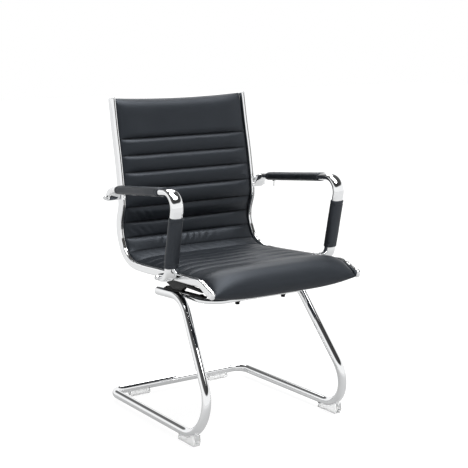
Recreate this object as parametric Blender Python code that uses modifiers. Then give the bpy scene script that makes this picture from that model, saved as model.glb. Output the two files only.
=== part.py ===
"""Cantilever visitor chair: tube base, two side rails, a ribbed leather sling and fixed arms.

Units are metres and +Z is up. The floor is z = 0 and the sitter faces -Y.
"""
import math

import bmesh
import bpy
from mathutils import Matrix, Quaternion, Vector

# Overall sizes
rail_top_height = 0.925
overall_depth = 0.598
joint_gap = 0.0003
weld_distance = 0.00001

# Side rails
rail_half_spacing = 0.239
rail_toe_angle = math.radians(1.66)
rail_width = 0.013
rail_back_depth = 0.028
rail_seat_depth = 0.022
rail_corner_radius = 0.0045
rail_groove_width = 0.0035
rail_groove_depth = 0.003
rail_groove_offset = -0.001
rail_tip_inset = 0.0017
rail_reach = 0.5703
rail_low_height = 0.446
rail_narrow_start_share = 0.36
rail_narrow_end_share = 0.56
rail_front_cap_length = 0.018
rail_front_cap_swell = 0.0012
rail_top_cap_thickness = 0.0025

# The rail's centreline from its top to its tip: shares of the reach forward and of the rise
rail_line_shares = (
    (1.000, 1.000),
    (0.969, 0.806),
    (0.941, 0.656),
    (0.922, 0.534),
    (0.908, 0.426),
    (0.904, 0.351),
    (0.914, 0.305),
    (0.928, 0.253),
    (0.931, 0.196),
    (0.923, 0.152),
    (0.911, 0.117),
    (0.875, 0.052),
    (0.798, 0.006),
    (0.691, 0.000),
    (0.525, 0.010),
    (0.359, 0.021),
    (0.202, 0.029),
    (0.125, 0.034),
    (0.066, 0.009),
    (0.000, -0.019),
)

# Leather sling
rib_count = 14
top_panel_length = 0.124
front_panel_length = 0.151
nose_setback = 0.005
pad_edge_level = 0.0015
pad_edge_thickness = 0.008
back_crown = 0.012
seat_crown = 0.020
back_belly = 0.010
seat_belly = 0.027
nose_belly = 0.024
nose_edge_drop = 0.010
nose_fill_length = 0.200
nose_fill_share = 0.8
back_rib_depth = 0.008
seat_rib_depth = 0.006
seam_shoulder = 0.016
top_round = 0.014
nose_round = 0.030
top_edge_dip = 0.007
rib_fullness_share = 0.6
rib_station_shares = (0.0, 0.18, 0.5, 0.82)
end_station_shares = (0.0, 0.22, 0.55, 1.0)
end_blunt_share = 0.3
nose_round_power = 2.6
pad_upper_shares = (-1.0, -0.93, -0.8, -0.45, 0.0, 0.45, 0.8, 0.93, 1.0)
pad_lower_shares = (1.0, 0.92, 0.75, 0.4, -0.4, -0.75, -0.92, -1.0)
crown_power = 8
belly_power = 3
nose_belly_power = 4.5

# Base tube: "back" is how far behind the rails' tips, "drop" how far below the rails' low line
tube_diameter = 0.0254
tube_wall = 0.002
glide_height = 0.0125
top_bend_radius = 0.092
front_bend_radius = 0.092
rear_corner_radius = 0.040
tube_top_half_spacing = 0.1992
tube_end_back = 0.3658
tube_end_drop = 0.066
tube_corner_back = 0.2346
tube_corner_drop = 0.059
leg_foot_half_spacing = 0.2502
leg_foot_back = -0.0335
rear_bar_half_spacing = 0.2403
plug_head_length = 0.0025
plug_stem_length = 0.012
plug_stem_clearance = 0.0005
plug_crown_share = 0.8

# Glides
glide_width = 0.020
glide_wrap = 0.0035
front_glide_back = 0.0853
front_glide_length = 0.084
rear_glide_inner_x = 0.110
rear_glide_length = 0.070

# Steel under the seat
side_bar_width = 0.016
side_bar_thickness = 0.004
side_bar_back = 0.3278
side_bar_length = 0.214
stretcher_back = 0.1368
stretcher_drop = 0.0615
stretcher_side_length = 0.145
stretcher_bend_radius = 0.055
stretcher_width = 0.024
stretcher_height = 0.011
stretcher_corner_radius = 0.004
cross_plate_length = 0.220
cross_plate_width = 0.030
cross_plate_thickness = 0.004
cross_plate_corner_radius = 0.0013
rear_cross_bar_back = 0.2888
rear_cross_bar_width = 0.030
rear_cross_bar_thickness = 0.007
rear_cross_bar_corner_radius = 0.002
stretcher_bolt_x = 0.0793
bolt_shank_diameter = 0.008
bolt_hole_clearance = 0.0004
bolt_head_width = 0.013
bolt_head_height = 0.007
bolt_flange_diameter = 0.018
bolt_flange_height = 0.0022
bolt_point_length = 0.003
bolt_point_share = 0.8
dome_bolt_diameter = 0.014
dome_bolt_height = 0.004
dome_bolt_inset = 0.022
dome_shares = ((0.55, 0.92), (0.9, 0.6), (1.0, 0.2), (1.0, 0.0))

# Seat brackets: rear and front ends under the rail and on the side bar
bracket_clearance = 0.0005
bracket_rail_back = (0.267, 0.132)
bracket_bar_back = (0.272, 0.232)
bracket_rail_width = 0.011
bracket_bar_width = 0.014
bracket_steps = 8

# Arms: "rise" is how far above the rails' low line
arm_offset = 0.0326
arm_width = 0.037
arm_thickness = 0.020
arm_bend_radius = 0.040
arm_rear_back = 0.4804
arm_rear_rise = 0.2205
arm_corner_back = 0.1244
arm_corner_rise = 0.2563
arm_foot_back = 0.1685
arm_foot_rise = 0.0449
sleeve_wall = 0.0022
top_sleeve_length = 0.262
front_sleeve_length = 0.145
sleeve_hem_length = 0.003

# Arm feet: how far each runs back to its screw and drops, then its end, then its centreline
rear_foot_drop = 0.0275
rear_foot_run = 0.0404
front_foot_drop = 0.0339
front_foot_run = 0.0473
foot_end_half_thickness = 0.0105
foot_end_outer_x = 0.0475
foot_nose_length = 0.0095
foot_nose_share = 0.87
foot_flare_share = 0.8
foot_steps = 7
rear_foot_line_shares = ((0.0, 0.0), (0.32, 0.10), (0.63, 0.33), (0.86, 0.66), (1.0, 1.0))
front_foot_line_shares = ((0.0, 0.0), (0.06, 0.38), (0.22, 0.72), (0.50, 0.93), (0.78, 0.99), (1.0, 1.0))
arm_screw_diameter = 0.013
arm_screw_length = 0.0085
zip_pull_width = 0.005
zip_pull_thickness = 0.0022
zip_pull_length = 0.020
zip_pull_back = 0.4403

# Rail front cap: shares of its length and of the rail's section
front_cap_shares = ((0.0, 1.0), (0.12, 1.0), (0.5, 1.0), (0.8, 0.78), (1.0, 0.36))
front_cap_swell_share = 0.125

# Counts and powers for round shapes
tube_bevel_steps = 4
round_steps = 16
corner_steps = 2
bend_steps = 8
bolt_sides = 12
oval_steps = 24
arm_oval_power = 2.5
foot_end_power = 6.0

# Places that several pieces share
tip_y = rail_tip_inset - overall_depth / 2
leg_foot_y = tip_y + leg_foot_back
stretcher_y = tip_y + stretcher_back
stretcher_z = rail_low_height - stretcher_drop
side_bar_rear_y = tip_y + side_bar_back
rear_cross_bar_y = tip_y + rear_cross_bar_back


def clear_scene():
    """Remove every object that the file opened with."""
    for item in list(bpy.data.objects):
        bpy.data.objects.remove(item)


def new_collection(name):
    """Add a collection to the scene."""
    made = bpy.data.collections.new(name)
    bpy.context.scene.collection.children.link(made)
    return made


def new_material(name, colour, roughness, metallic=0.0):
    """Make a plain material from a colour, a roughness and a metallic value."""
    made = bpy.data.materials.new(name)
    made.use_nodes = True
    shader = made.node_tree.nodes["Principled BSDF"]
    shader.inputs["Base Color"].default_value = (*colour, 1.0)
    shader.inputs["Roughness"].default_value = roughness
    shader.inputs["Metallic"].default_value = metallic
    return made


def add_object(name, mesh, material=None, parent=None):
    """Put a mesh in the chair's collection under its own name."""
    made = bpy.data.objects.new(name, mesh)
    chair.objects.link(made)
    if material:
        mesh.materials.clear()
        mesh.materials.append(material)
    made.parent = parent
    mesh.shade_smooth()
    mesh.set_sharp_from_angle(angle=sharp_angle)
    return made


def mirrored(mesh):
    """Turn a right-hand mesh into its left-hand twin."""
    mesh.transform(Matrix.Scale(-1, 4, (1, 0, 0)))
    mesh.flip_normals()
    return mesh


def add_pair(name, build_mesh, material):
    """Add a right and a left piece, each under the empty of its own side."""
    add_object(f"{name}_right", build_mesh(), material, right_side)
    add_object(f"{name}_left", mirrored(build_mesh()), material, left_side)


def mesh_from(bm, name="shape"):
    """Close a bmesh into a mesh whose faces point outwards."""
    bmesh.ops.recalc_face_normals(bm, faces=bm.faces)
    made = bpy.data.meshes.new(name)
    bm.to_mesh(made)
    bm.free()
    return made


def skin(bm, rings):
    """Join each ring of points to the next and return the rings of vertices."""
    loops = [[bm.verts.new(point) for point in ring] for ring in rings]
    for low, high in zip(loops, loops[1:]):
        for index in range(len(low)):
            after = (index + 1) % len(low)
            bm.faces.new((low[index], low[after], high[after], high[index]))
    return loops


def loft(rings):
    """Make a closed solid through rings of points."""
    bm = bmesh.new()
    loops = skin(bm, rings)
    bm.faces.new(loops[0])
    bm.faces.new(loops[-1])
    return mesh_from(bm)


def hollow_loft(outer_rings, bore_rings):
    """Make a sleeve between an outer and an inner run of rings."""
    bm = bmesh.new()
    outer = skin(bm, outer_rings)
    bores = skin(bm, bore_rings)
    for end in (0, -1):
        rim, bore = outer[end], bores[end]
        for index in range(len(rim)):
            after = (index + 1) % len(rim)
            bm.faces.new((rim[index], rim[after], bore[after], bore[index]))
    return mesh_from(bm)


def smooth(points, steps):
    """Run a smooth curve through points, with a few steps between each two."""
    made = []
    ends = [points[0] * 2 - points[1], *points, points[-1] * 2 - points[-2]]
    for before, start, end, after in zip(ends, ends[1:], ends[2:], ends[3:]):
        for step in range(steps):
            t = step / steps
            made.append(
                start
                + (end - before) * (t / 2)
                + (before * 2 - start * 5 + end * 4 - after) * (t * t / 2)
                + (start * 3 - before - end * 3 + after) * (t * t * t / 2)
            )
    made.append(points[-1])
    return made


def rounded_path(corners, radii, steps):
    """Join straight runs by round bends."""
    made = [corners[0]]
    for before, corner, after, radius in zip(corners, corners[1:], corners[2:], radii):
        back = (before - corner).normalized()
        ahead = (after - corner).normalized()
        half_angle = back.angle(ahead) / 2
        centre = corner + (back + ahead).normalized() * (radius / math.sin(half_angle))
        reach = radius / math.tan(half_angle)
        start = corner + back * reach - centre
        end = corner + ahead * reach - centre
        axis = start.cross(end)
        for step in range(steps + 1):
            turn = Quaternion(axis, start.angle(end) * step / steps)
            made.append(centre + turn @ start)
    made.append(corners[-1])
    return made


class Line:
    """A line in a vertical plane that is read by its distance from the start."""

    def __init__(self, points):
        self.points = points
        self.marks = [0.0]
        for start, end in zip(points, points[1:]):
            self.marks.append(self.marks[-1] + (end - start).length)
        self.length = self.marks[-1]

    def at(self, distance):
        """Give the point, the direction and the outward normal at a distance."""
        index = 0
        while index < len(self.points) - 2 and self.marks[index + 1] < distance:
            index += 1
        span = self.marks[index + 1] - self.marks[index]
        share = (distance - self.marks[index]) / span
        start, end = self.points[index], self.points[index + 1]
        before = self.points[max(index - 1, 0)]
        after = self.points[min(index + 2, len(self.points) - 1)]
        first = (end - before).normalized()
        second = (after - start).normalized()
        direction = first.lerp(second, min(max(share, 0), 1)).normalized()
        return start.lerp(end, share), direction, outward(direction)

    def between(self, first, last):
        """List the line's own distances from one place to another, ends included."""
        margin = (last - first) / (len(self.points) * 4)
        inner = [mark for mark in self.marks if first + margin < mark < last - margin]
        return [first, *inner, last]


def rounded_section(width, depth, radius, steps):
    """Outline of a rounded rectangle, given as across and normal pairs."""
    made = []
    corners = ((1, 1, 0), (-1, 1, 1), (-1, -1, 2), (1, -1, 3))
    for across, normal, quarter in corners:
        centre_across = across * (width / 2 - radius)
        centre_normal = normal * (depth / 2 - radius)
        for step in range(steps + 1):
            angle = (quarter + step / steps) * math.pi / 2
            made.append((centre_across + radius * math.cos(angle), centre_normal + radius * math.sin(angle)))
    return made


def oval_section(width, depth, power):
    """Outline of an oval; the higher its power, the nearer it comes to a rectangle."""
    made = []
    for step in range(oval_steps):
        angle = math.tau * step / oval_steps
        across = math.copysign(abs(math.cos(angle)) ** (2 / power), math.cos(angle))
        normal = math.copysign(abs(math.sin(angle)) ** (2 / power), math.sin(angle))
        made.append((across * width / 2, normal * depth / 2))
    return made


def outward(direction):
    """Turn a direction to the outer side of its line."""
    return Vector((direction.y, -direction.x))


def side_ring(line, distance, section, offset=0.0):
    """Set a section square to a line at a distance along it."""
    point, _, normal = line.at(distance)
    return ring_at(point, normal, section, offset)


def ring_at(point, normal, section, offset):
    """Set a section at a point, with its height along a normal."""
    ring = []
    for across, height in section:
        place = point + normal * height
        ring.append(Vector((offset + across, place.x, place.y)))
    return ring


def ease(share):
    """Go smoothly from 0 to 1."""
    share = min(max(share, 0), 1)
    return share * share * (3 - 2 * share)


def turned_mesh(profile, steps=round_steps):
    """Turn a profile about Z; it runs down from the top of the axis to its foot."""
    outline = bpy.data.meshes.new("profile")
    points = [(radius, 0, height) for radius, height in profile]
    outline.from_pydata(points, [(index, index + 1) for index in range(len(points) - 1)], [])
    guide = bpy.data.objects.new("turned", outline)
    chair.objects.link(guide)
    screw = guide.modifiers.new("turn", "SCREW")
    screw.steps = steps
    screw.render_steps = steps
    screw.use_merge_vertices = True
    screw.merge_threshold = weld_distance
    return applied(guide)


def applied(item):
    """Turn an object with its modifiers, or a curve, into a welded mesh in world space."""
    bpy.context.view_layer.update()
    ready = item.evaluated_get(bpy.context.evaluated_depsgraph_get())
    mesh = bpy.data.meshes.new_from_object(ready)
    mesh.transform(item.matrix_world)
    bpy.data.objects.remove(item)
    bm = bmesh.new()
    bm.from_mesh(mesh)
    bmesh.ops.remove_doubles(bm, verts=bm.verts, dist=weld_distance)
    bm.to_mesh(mesh)
    bm.free()
    return mesh


def poly_curve(name, points, depth, capped):
    """Make a round curve along points."""
    data = bpy.data.curves.new(name, "CURVE")
    data.dimensions = "3D"
    data.bevel_depth = depth
    data.bevel_resolution = tube_bevel_steps
    data.use_fill_caps = capped
    spline = data.splines.new("POLY")
    spline.points.add(len(points) - 1)
    for point, place in zip(spline.points, points):
        point.co = (*place, 1.0)
    made = bpy.data.objects.new(name, data)
    chair.objects.link(made)
    return made


def flat_outline(points, thickness):
    """Extrude a flat outline in X and Y by a thickness that is centred on Z = 0."""
    data = bpy.data.curves.new("outline", "CURVE")
    data.dimensions = "2D"
    data.fill_mode = "BOTH"
    data.extrude = thickness / 2
    spline = data.splines.new("POLY")
    spline.points.add(len(points) - 1)
    for point, place in zip(spline.points, points):
        point.co = (*place, 0.0, 1.0)
    spline.use_cyclic_u = True
    made = bpy.data.objects.new("outline", data)
    chair.objects.link(made)
    return applied(made)


def cut(item, cutter):
    """Cut one object by another with a live Boolean."""
    modifier = item.modifiers.new("cut", "BOOLEAN")
    modifier.operation = "DIFFERENCE"
    modifier.object = cutter


def add_cutter(name, mesh):
    """Keep a cutter as a guide that neither renders nor counts as a piece."""
    made = bpy.data.objects.new(name, mesh)
    cutters.objects.link(made)
    made.hide_render = True
    made.display_type = "WIRE"
    return made


# Lines that several pieces share
def rail_line():
    """The rail's centreline in its own side plane, from the top end to the tip."""
    rise = rail_top_height - rail_low_height
    points = []
    for forward_share, rise_share in rail_line_shares:
        y = tip_y + rail_reach * forward_share
        points.append(Vector((y, rail_low_height + rise * rise_share)))
    return Line(smooth(points, 2))


def rail_depth_at(distance):
    """The rail is deep up the back and slimmer along the seat."""
    share = distance / rail.length
    blend = ease((share - rail_narrow_start_share) / (rail_narrow_end_share - rail_narrow_start_share))
    return rail_back_depth + (rail_seat_depth - rail_back_depth) * blend


def rail_underside(y):
    """Height of the rail's lower face above the floor, along the seat."""
    distance = rail.length
    while rail.at(distance)[0].x < y:
        distance -= rail_width
    step_back = rail.at(distance)[0]
    step_on = rail.at(distance + rail_width)[0]
    centre = step_back.lerp(step_on, (step_back.x - y) / (step_back.x - step_on.x))
    return centre.y - rail_depth_at(distance) / 2


def rail_x(y):
    """How far a rail's centreline is from the middle plane, at a place in depth."""
    return rail_half_spacing - y * math.tan(rail_toe_angle)


def inner_half_width(y):
    """Half the clear width between the rails' inner faces, at a place in depth."""
    return rail_x(y) - (rail_width / 2 + joint_gap) / math.cos(rail_toe_angle)


def arm_line():
    """The arm tube's centreline: along the rest, round the bend and down to the seat."""
    corners = [
        Vector((0, tip_y + arm_rear_back, rail_low_height + arm_rear_rise)),
        Vector((0, tip_y + arm_corner_back, rail_low_height + arm_corner_rise)),
        Vector((0, tip_y + arm_foot_back, rail_low_height + arm_foot_rise)),
    ]
    bend = rounded_path(corners, (arm_bend_radius,), bend_steps)
    return Line([Vector((point.y, point.z)) for point in bend])


def tube_path():
    """The base tube's centreline, from the left upper end round to the right one."""
    runner_z = glide_height + tube_diameter / 2
    rear_y = overall_depth / 2 - tube_diameter / 2
    end, _ = upper_run()
    corner_y = tip_y + tube_corner_back
    right = [
        Vector((rear_bar_half_spacing, rear_y, runner_z)),
        Vector((leg_foot_half_spacing, leg_foot_y, runner_z)),
        Vector((tube_top_half_spacing, corner_y, rail_low_height - tube_corner_drop)),
        Vector((tube_top_half_spacing, end.x, end.y)),
    ]
    left = [Vector((-point.x, point.y, point.z)) for point in reversed(right)]
    radii = (top_bend_radius, front_bend_radius, rear_corner_radius)
    return rounded_path(left + right, (*radii, *reversed(radii)), bend_steps)


# Side rails
def rail_section(distance):
    """Rounded bar with a groove in its front face beside the leather."""
    depth = rail_depth_at(distance)
    outline = rounded_section(rail_width, depth, rail_corner_radius, corner_steps)
    left = rail_groove_offset - rail_groove_width / 2
    right = rail_groove_offset + rail_groove_width / 2
    floor = depth / 2 - rail_groove_depth
    groove = [(right, depth / 2), (right, floor), (left, floor), (left, depth / 2)]
    first_corner = corner_steps + 1
    return outline[:first_corner] + groove + outline[first_corner:]


def rail_mesh():
    """One side rail, from under its top cap to its front cap."""
    first = rail_top_cap_thickness + joint_gap
    last = rail.length - rail_front_cap_length - joint_gap
    return loft([side_ring(rail, place, rail_section(place)) for place in rail.between(first, last)])


def rail_front_cap_mesh():
    """Drop-shaped cast end that closes the rail's front."""
    first = rail.length - rail_front_cap_length
    depth = rail_depth_at(first)
    rings = []
    for share, size_share in front_cap_shares:
        swell = rail_front_cap_swell * ease(share / front_cap_swell_share)
        wide = rail_width * size_share
        deep = (depth + swell) * size_share
        radius = rail_corner_radius * size_share
        section = rounded_section(wide, deep, radius, corner_steps)
        rings.append(side_ring(rail, first + rail_front_cap_length * share, section))
    return loft(rings)


def rail_top_cap_mesh():
    """Flat cap on the rail's upper end."""
    section = rounded_section(rail_width, rail_depth_at(0), rail_corner_radius, corner_steps)
    return loft([side_ring(rail, place, section) for place in (0.0, rail_top_cap_thickness)])


# Leather sling
def pad_stations():
    """Distances along the sling with how full the rib and how full the end is there."""
    length = rail.length - nose_setback
    pitch = (length - top_panel_length - front_panel_length) / rib_count
    stations = []
    for share in end_station_shares:
        full = max(math.sqrt(share * (2 - share)), end_blunt_share)
        stations.append((top_round * share, 1.0, full))
    stations.append(((top_round + top_panel_length) / 2, 1.0, 1.0))
    stations.append((top_panel_length - seam_shoulder, 1.0, 1.0))
    stations.append((top_panel_length - seam_shoulder / 3, rib_fullness_share, 1.0))
    for rib in range(rib_count):
        for share in rib_station_shares:
            height = math.sin(math.pi * share) ** rib_fullness_share
            stations.append((top_panel_length + (rib + share) * pitch, height, 1.0))
    seam = length - front_panel_length
    stations.append((seam, 0.0, 1.0))
    stations.append((seam + seam_shoulder / 3, rib_fullness_share, 1.0))
    stations.append((seam + seam_shoulder, 1.0, 1.0))
    nose_start = length - nose_round
    stations.append(((seam + seam_shoulder + nose_start) / 2, 1.0, 1.0))
    for share in end_station_shares:
        full = max((1 - share ** nose_round_power) ** (1 / nose_round_power), end_blunt_share)
        stations.append((nose_start + nose_round * share, 1.0, full))
    return stations


def pad_ring(distance, rib_height, end_height):
    """One ring round the sling: over the sitter's side, then back along the underside."""
    point, direction, normal = rail.at(distance)
    seat_share = ease((distance / rail.length - rail_narrow_start_share) / rail_narrow_start_share)
    nose_run = nose_fill_length * nose_fill_share
    nose_share = ease((distance - rail.length + nose_fill_length) / nose_run)
    crown = back_crown + (seat_crown - back_crown) * seat_share
    belly = back_belly + (seat_belly - back_belly) * seat_share
    belly += (nose_belly - seat_belly) * nose_share
    power = belly_power + (nose_belly_power - belly_power) * nose_share
    rib_depth = back_rib_depth + (seat_rib_depth - back_rib_depth) * seat_share
    top = pad_edge_level + pad_edge_thickness / 2
    foot = pad_edge_level - pad_edge_thickness / 2 - nose_edge_drop * nose_share
    middle = (top + crown + foot - belly) / 2
    dip = top_edge_dip * max(1 - distance / top_panel_length, 0) ** 2
    ring = []
    for share in pad_upper_shares:
        fullness = 1 - abs(share) ** crown_power
        ring.append((share, top + (crown - rib_depth * (1 - rib_height)) * fullness))
    for share in pad_lower_shares:
        ring.append((share, foot - belly * (1 - abs(share) ** power)))
    made = []
    for share, level in ring:
        level = middle + (level - middle) * end_height
        place = point + normal * level + direction * (dip * (1 - share * share))
        made.append(Vector((share * inner_half_width(place.x), place.x, place.y)))
    return made


def sling_mesh():
    """The whole sling: plain top panel, ribs down the back and along the seat, plain nose."""
    return loft([pad_ring(*station) for station in pad_stations()])


# Base
def build_base():
    """Bent tube, its end plugs and the four glides that it stands on."""
    path = tube_path()
    tube_mesh = applied(poly_curve("tube", path, tube_diameter / 2, False))
    tube = add_object("base_tube", tube_mesh, chrome)
    wall = tube.modifiers.new("wall", "SOLIDIFY")
    wall.thickness = tube_wall
    wall.offset = -1
    clearance = applied(poly_curve("clearance", path, tube_diameter / 2 + joint_gap, True))
    tube_cutter = add_cutter("tube_clearance", clearance)
    for end, before, side in ((path[-1], path[-2], "right"), (path[0], path[1], "left")):
        head = tube_diameter / 2
        stem = head - tube_wall - plug_stem_clearance
        profile = (
            (0, plug_head_length),
            (head * plug_crown_share, plug_head_length),
            (head, plug_head_length / 2),
            (head, joint_gap),
            (stem, joint_gap),
            (stem, -plug_stem_length),
            (0, -plug_stem_length),
        )
        plug = add_object(f"tube_plug_{side}", turned_mesh(profile), black_plastic)
        plug.location = end
        plug.rotation_mode = "QUATERNION"
        plug.rotation_quaternion = (end - before).to_track_quat("Z", "Y")
    for side, sign in (("right", 1), ("left", -1)):
        front = add_object(f"front_glide_{side}", front_glide_mesh(path, sign), clear_plastic)
        cut(front, tube_cutter)
        rear = add_object(f"rear_glide_{side}", rear_glide_mesh(sign), clear_plastic)
        cut(rear, tube_cutter)


def front_glide_mesh(path, sign):
    """Wedge under the front of a runner, where the tube starts to rise."""
    runner_slope = (leg_foot_half_spacing - rear_bar_half_spacing) / (leg_foot_y - overall_depth / 2)
    front_y = tip_y + front_glide_back
    rear_y = front_y + front_glide_length
    under = []
    for point in path:
        if point.x > 0 and front_y < point.y < rear_y and point.z < top_bend_radius:
            under.append((point.y, point.z - tube_diameter / 2 + glide_wrap))
    low_top = glide_height + glide_wrap
    outline = [(rear_y, 0), (rear_y, low_top), *sorted(under, reverse=True)]
    outline.append((front_y, outline[-1][1] + glide_wrap))
    outline.append((front_y - glide_wrap, low_top))
    outline.append((front_y + glide_wrap, 0))
    mesh = flat_outline(outline, glide_width)
    middle_y = (front_y + rear_y) / 2
    middle_x = leg_foot_half_spacing + (middle_y - leg_foot_y) * runner_slope
    stand_up = Matrix(((0, 0, 1, 0), (1, 0, 0, 0), (0, 1, 0, 0), (0, 0, 0, 1)))
    turn = Matrix.Rotation(-math.atan(runner_slope) * sign, 4, "Z")
    place = Matrix.Translation((middle_x * sign, middle_y, 0)) @ turn @ Matrix.Translation((0, -middle_y, 0))
    mesh.transform(place @ stand_up)
    return mesh


def rear_glide_mesh(sign):
    """Saddle block under the rear bar of the base."""
    top = glide_height + glide_wrap
    outer = rear_glide_inner_x + rear_glide_length
    chamfer = glide_wrap
    outline = [
        (rear_glide_inner_x + chamfer, 0),
        (outer - chamfer, 0),
        (outer, chamfer),
        (outer, top),
        (rear_glide_inner_x, top),
        (rear_glide_inner_x, chamfer),
    ]
    mesh = flat_outline(outline, glide_width)
    stand_up = Matrix(((sign, 0, 0, 0), (0, 0, 1, 0), (0, 1, 0, 0), (0, 0, 0, 1)))
    mesh.transform(Matrix.Translation((0, overall_depth / 2 - tube_diameter / 2, 0)) @ stand_up)
    if stand_up.determinant() < 0:
        mesh.flip_normals()
    return mesh


# Steel under the seat
def upper_run():
    """The tube's plugged upper end and the direction from it towards the front."""
    start = Vector((tip_y + tube_end_back, rail_low_height - tube_end_drop))
    end = Vector((tip_y + tube_corner_back, rail_low_height - tube_corner_drop))
    return start, (end - start).normalized()


def bar_level(y):
    """Height of the side bars' underside at a place in depth."""
    start, direction = upper_run()
    slope = direction.y / direction.x
    rest = tube_diameter / 2 + joint_gap
    return start.y + (y - start.x) * slope + rest


def side_bar_mesh(sign):
    """Flat steel bar with rounded ends on top of the tube's upper run."""
    radius = side_bar_width / 2
    outline = []
    for centre, quarter in ((side_bar_length - radius, 0), (radius, 2)):
        for step in range(bend_steps + 1):
            angle = (quarter - 1) * math.pi / 2 + math.pi * step / bend_steps
            outline.append((centre + radius * math.cos(angle), radius * math.sin(angle)))
    mesh = flat_outline(outline, side_bar_thickness)
    _, direction = upper_run()
    forward = Vector((0, direction.x, direction.y))
    across = Vector((1, 0, 0))
    up = across.cross(forward) * -1
    place = Matrix.Identity(4)
    place.col[0] = (*forward, 0)
    place.col[1] = (*(up.cross(forward)), 0)
    place.col[2] = (*up, 0)
    rise = bar_level(side_bar_rear_y) + side_bar_thickness / 2
    mesh.transform(Matrix.Translation((tube_top_half_spacing * sign, side_bar_rear_y, rise)) @ place)
    return mesh


def bracket_mesh():
    """Wedge between the right side bar and its rail; it widens forwards under the rail."""
    rings = []
    for step in range(bracket_steps + 1):
        share = step / bracket_steps
        rail_y = tip_y + bracket_rail_back[0] + (bracket_rail_back[1] - bracket_rail_back[0]) * share
        bar_y = tip_y + bracket_bar_back[0] + (bracket_bar_back[1] - bracket_bar_back[0]) * share
        top = rail_underside(rail_y) - bracket_clearance
        foot = bar_level(bar_y) + side_bar_thickness + joint_gap
        rings.append([
            Vector((rail_x(rail_y) + bracket_rail_width / 2, rail_y, top)),
            Vector((rail_x(rail_y) - bracket_rail_width / 2, rail_y, top)),
            Vector((tube_top_half_spacing - bracket_bar_width / 2, bar_y, foot)),
            Vector((tube_top_half_spacing + bracket_bar_width / 2, bar_y, foot)),
        ])
    return loft(rings)


def bow_mesh():
    """Flat bow: forwards from beside the left tube, across under the seat and back to the right."""
    side_x = tube_top_half_spacing - (tube_diameter + stretcher_width) / 2 - joint_gap
    end_y = stretcher_y + stretcher_side_length
    corners = [Vector((side_x, place, stretcher_z)) for place in (stretcher_y, end_y)]
    left = [Vector((-point.x, point.y, point.z)) for point in reversed(corners)]
    path = rounded_path(left + corners, (stretcher_bend_radius, stretcher_bend_radius), bend_steps)
    section = rounded_section(stretcher_width, stretcher_height, stretcher_corner_radius, corner_steps)
    up = Vector((0, 0, 1))
    rings = []
    for index, point in enumerate(path):
        ahead = path[min(index + 1, len(path) - 1)] - path[max(index - 1, 0)]
        side = ahead.normalized().cross(up)
        rings.append([point + side * across + up * height for across, height in section])
    return loft(rings)


def cross_strip(half_length, y, section, level):
    """Straight strip that crosses under the seat, at a level that may slope in depth."""
    rings = []
    for end in (-half_length, half_length):
        rings.append([Vector((end, y + across, level(y + across) + up)) for across, up in section])
    return loft(rings)


def cross_plate_mesh():
    """Straight strip on top of the bow's middle."""
    section = rounded_section(
        cross_plate_width, cross_plate_thickness, cross_plate_corner_radius, corner_steps,
    )
    top = stretcher_z + (stretcher_height + cross_plate_thickness) / 2 + joint_gap
    return cross_strip(cross_plate_length / 2, stretcher_y, section, lambda y: top)


def rear_cross_bar_mesh():
    """Straight bar that lies across both side bars, behind the seat brackets."""
    section = rounded_section(
        rear_cross_bar_width, rear_cross_bar_thickness, rear_cross_bar_corner_radius, corner_steps,
    )
    lift = side_bar_thickness + joint_gap + rear_cross_bar_thickness / 2
    half_length = tube_top_half_spacing + side_bar_width / 2
    return cross_strip(half_length, rear_cross_bar_y, section, lambda y: bar_level(y) + lift)


def bolt_mesh(length):
    """Flanged hexagon bolt that points up from its flange face at z = 0."""
    bm = bmesh.new()
    bmesh.ops.create_cone(
        bm, cap_ends=True, segments=6, radius1=bolt_head_width / 2, radius2=bolt_head_width / 2,
        depth=bolt_head_height,
        matrix=Matrix.Translation((0, 0, -bolt_flange_height - bolt_head_height / 2)),
    )
    head = mesh_from(bm)
    shank = bolt_shank_diameter / 2
    flange = bolt_flange_diameter / 2
    profile = (
        (0, length),
        (shank * bolt_point_share, length),
        (shank, length - shank / 3),
        (shank, 0),
        (flange, 0),
        (flange, -bolt_flange_height / 2),
        (bolt_head_width / 2, -bolt_flange_height - weld_distance),
        (0, -bolt_flange_height - weld_distance),
    )
    body = turned_mesh(profile, bolt_sides)
    holder = bpy.data.objects.new("bolt_body", body)
    hexagon = bpy.data.objects.new("bolt_head", head)
    for item in (holder, hexagon):
        chair.objects.link(item)
    union = holder.modifiers.new("head", "BOOLEAN")
    union.operation = "UNION"
    union.object = hexagon
    made = applied(holder)
    bpy.data.objects.remove(hexagon)
    return made


def dome_mesh(diameter, height):
    """Round domed screw head that stands on z = 0."""
    radius = diameter / 2
    rim = [(radius * out, height * up) for out, up in dome_shares]
    return turned_mesh([(0, height), *rim, (0, 0)])


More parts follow.
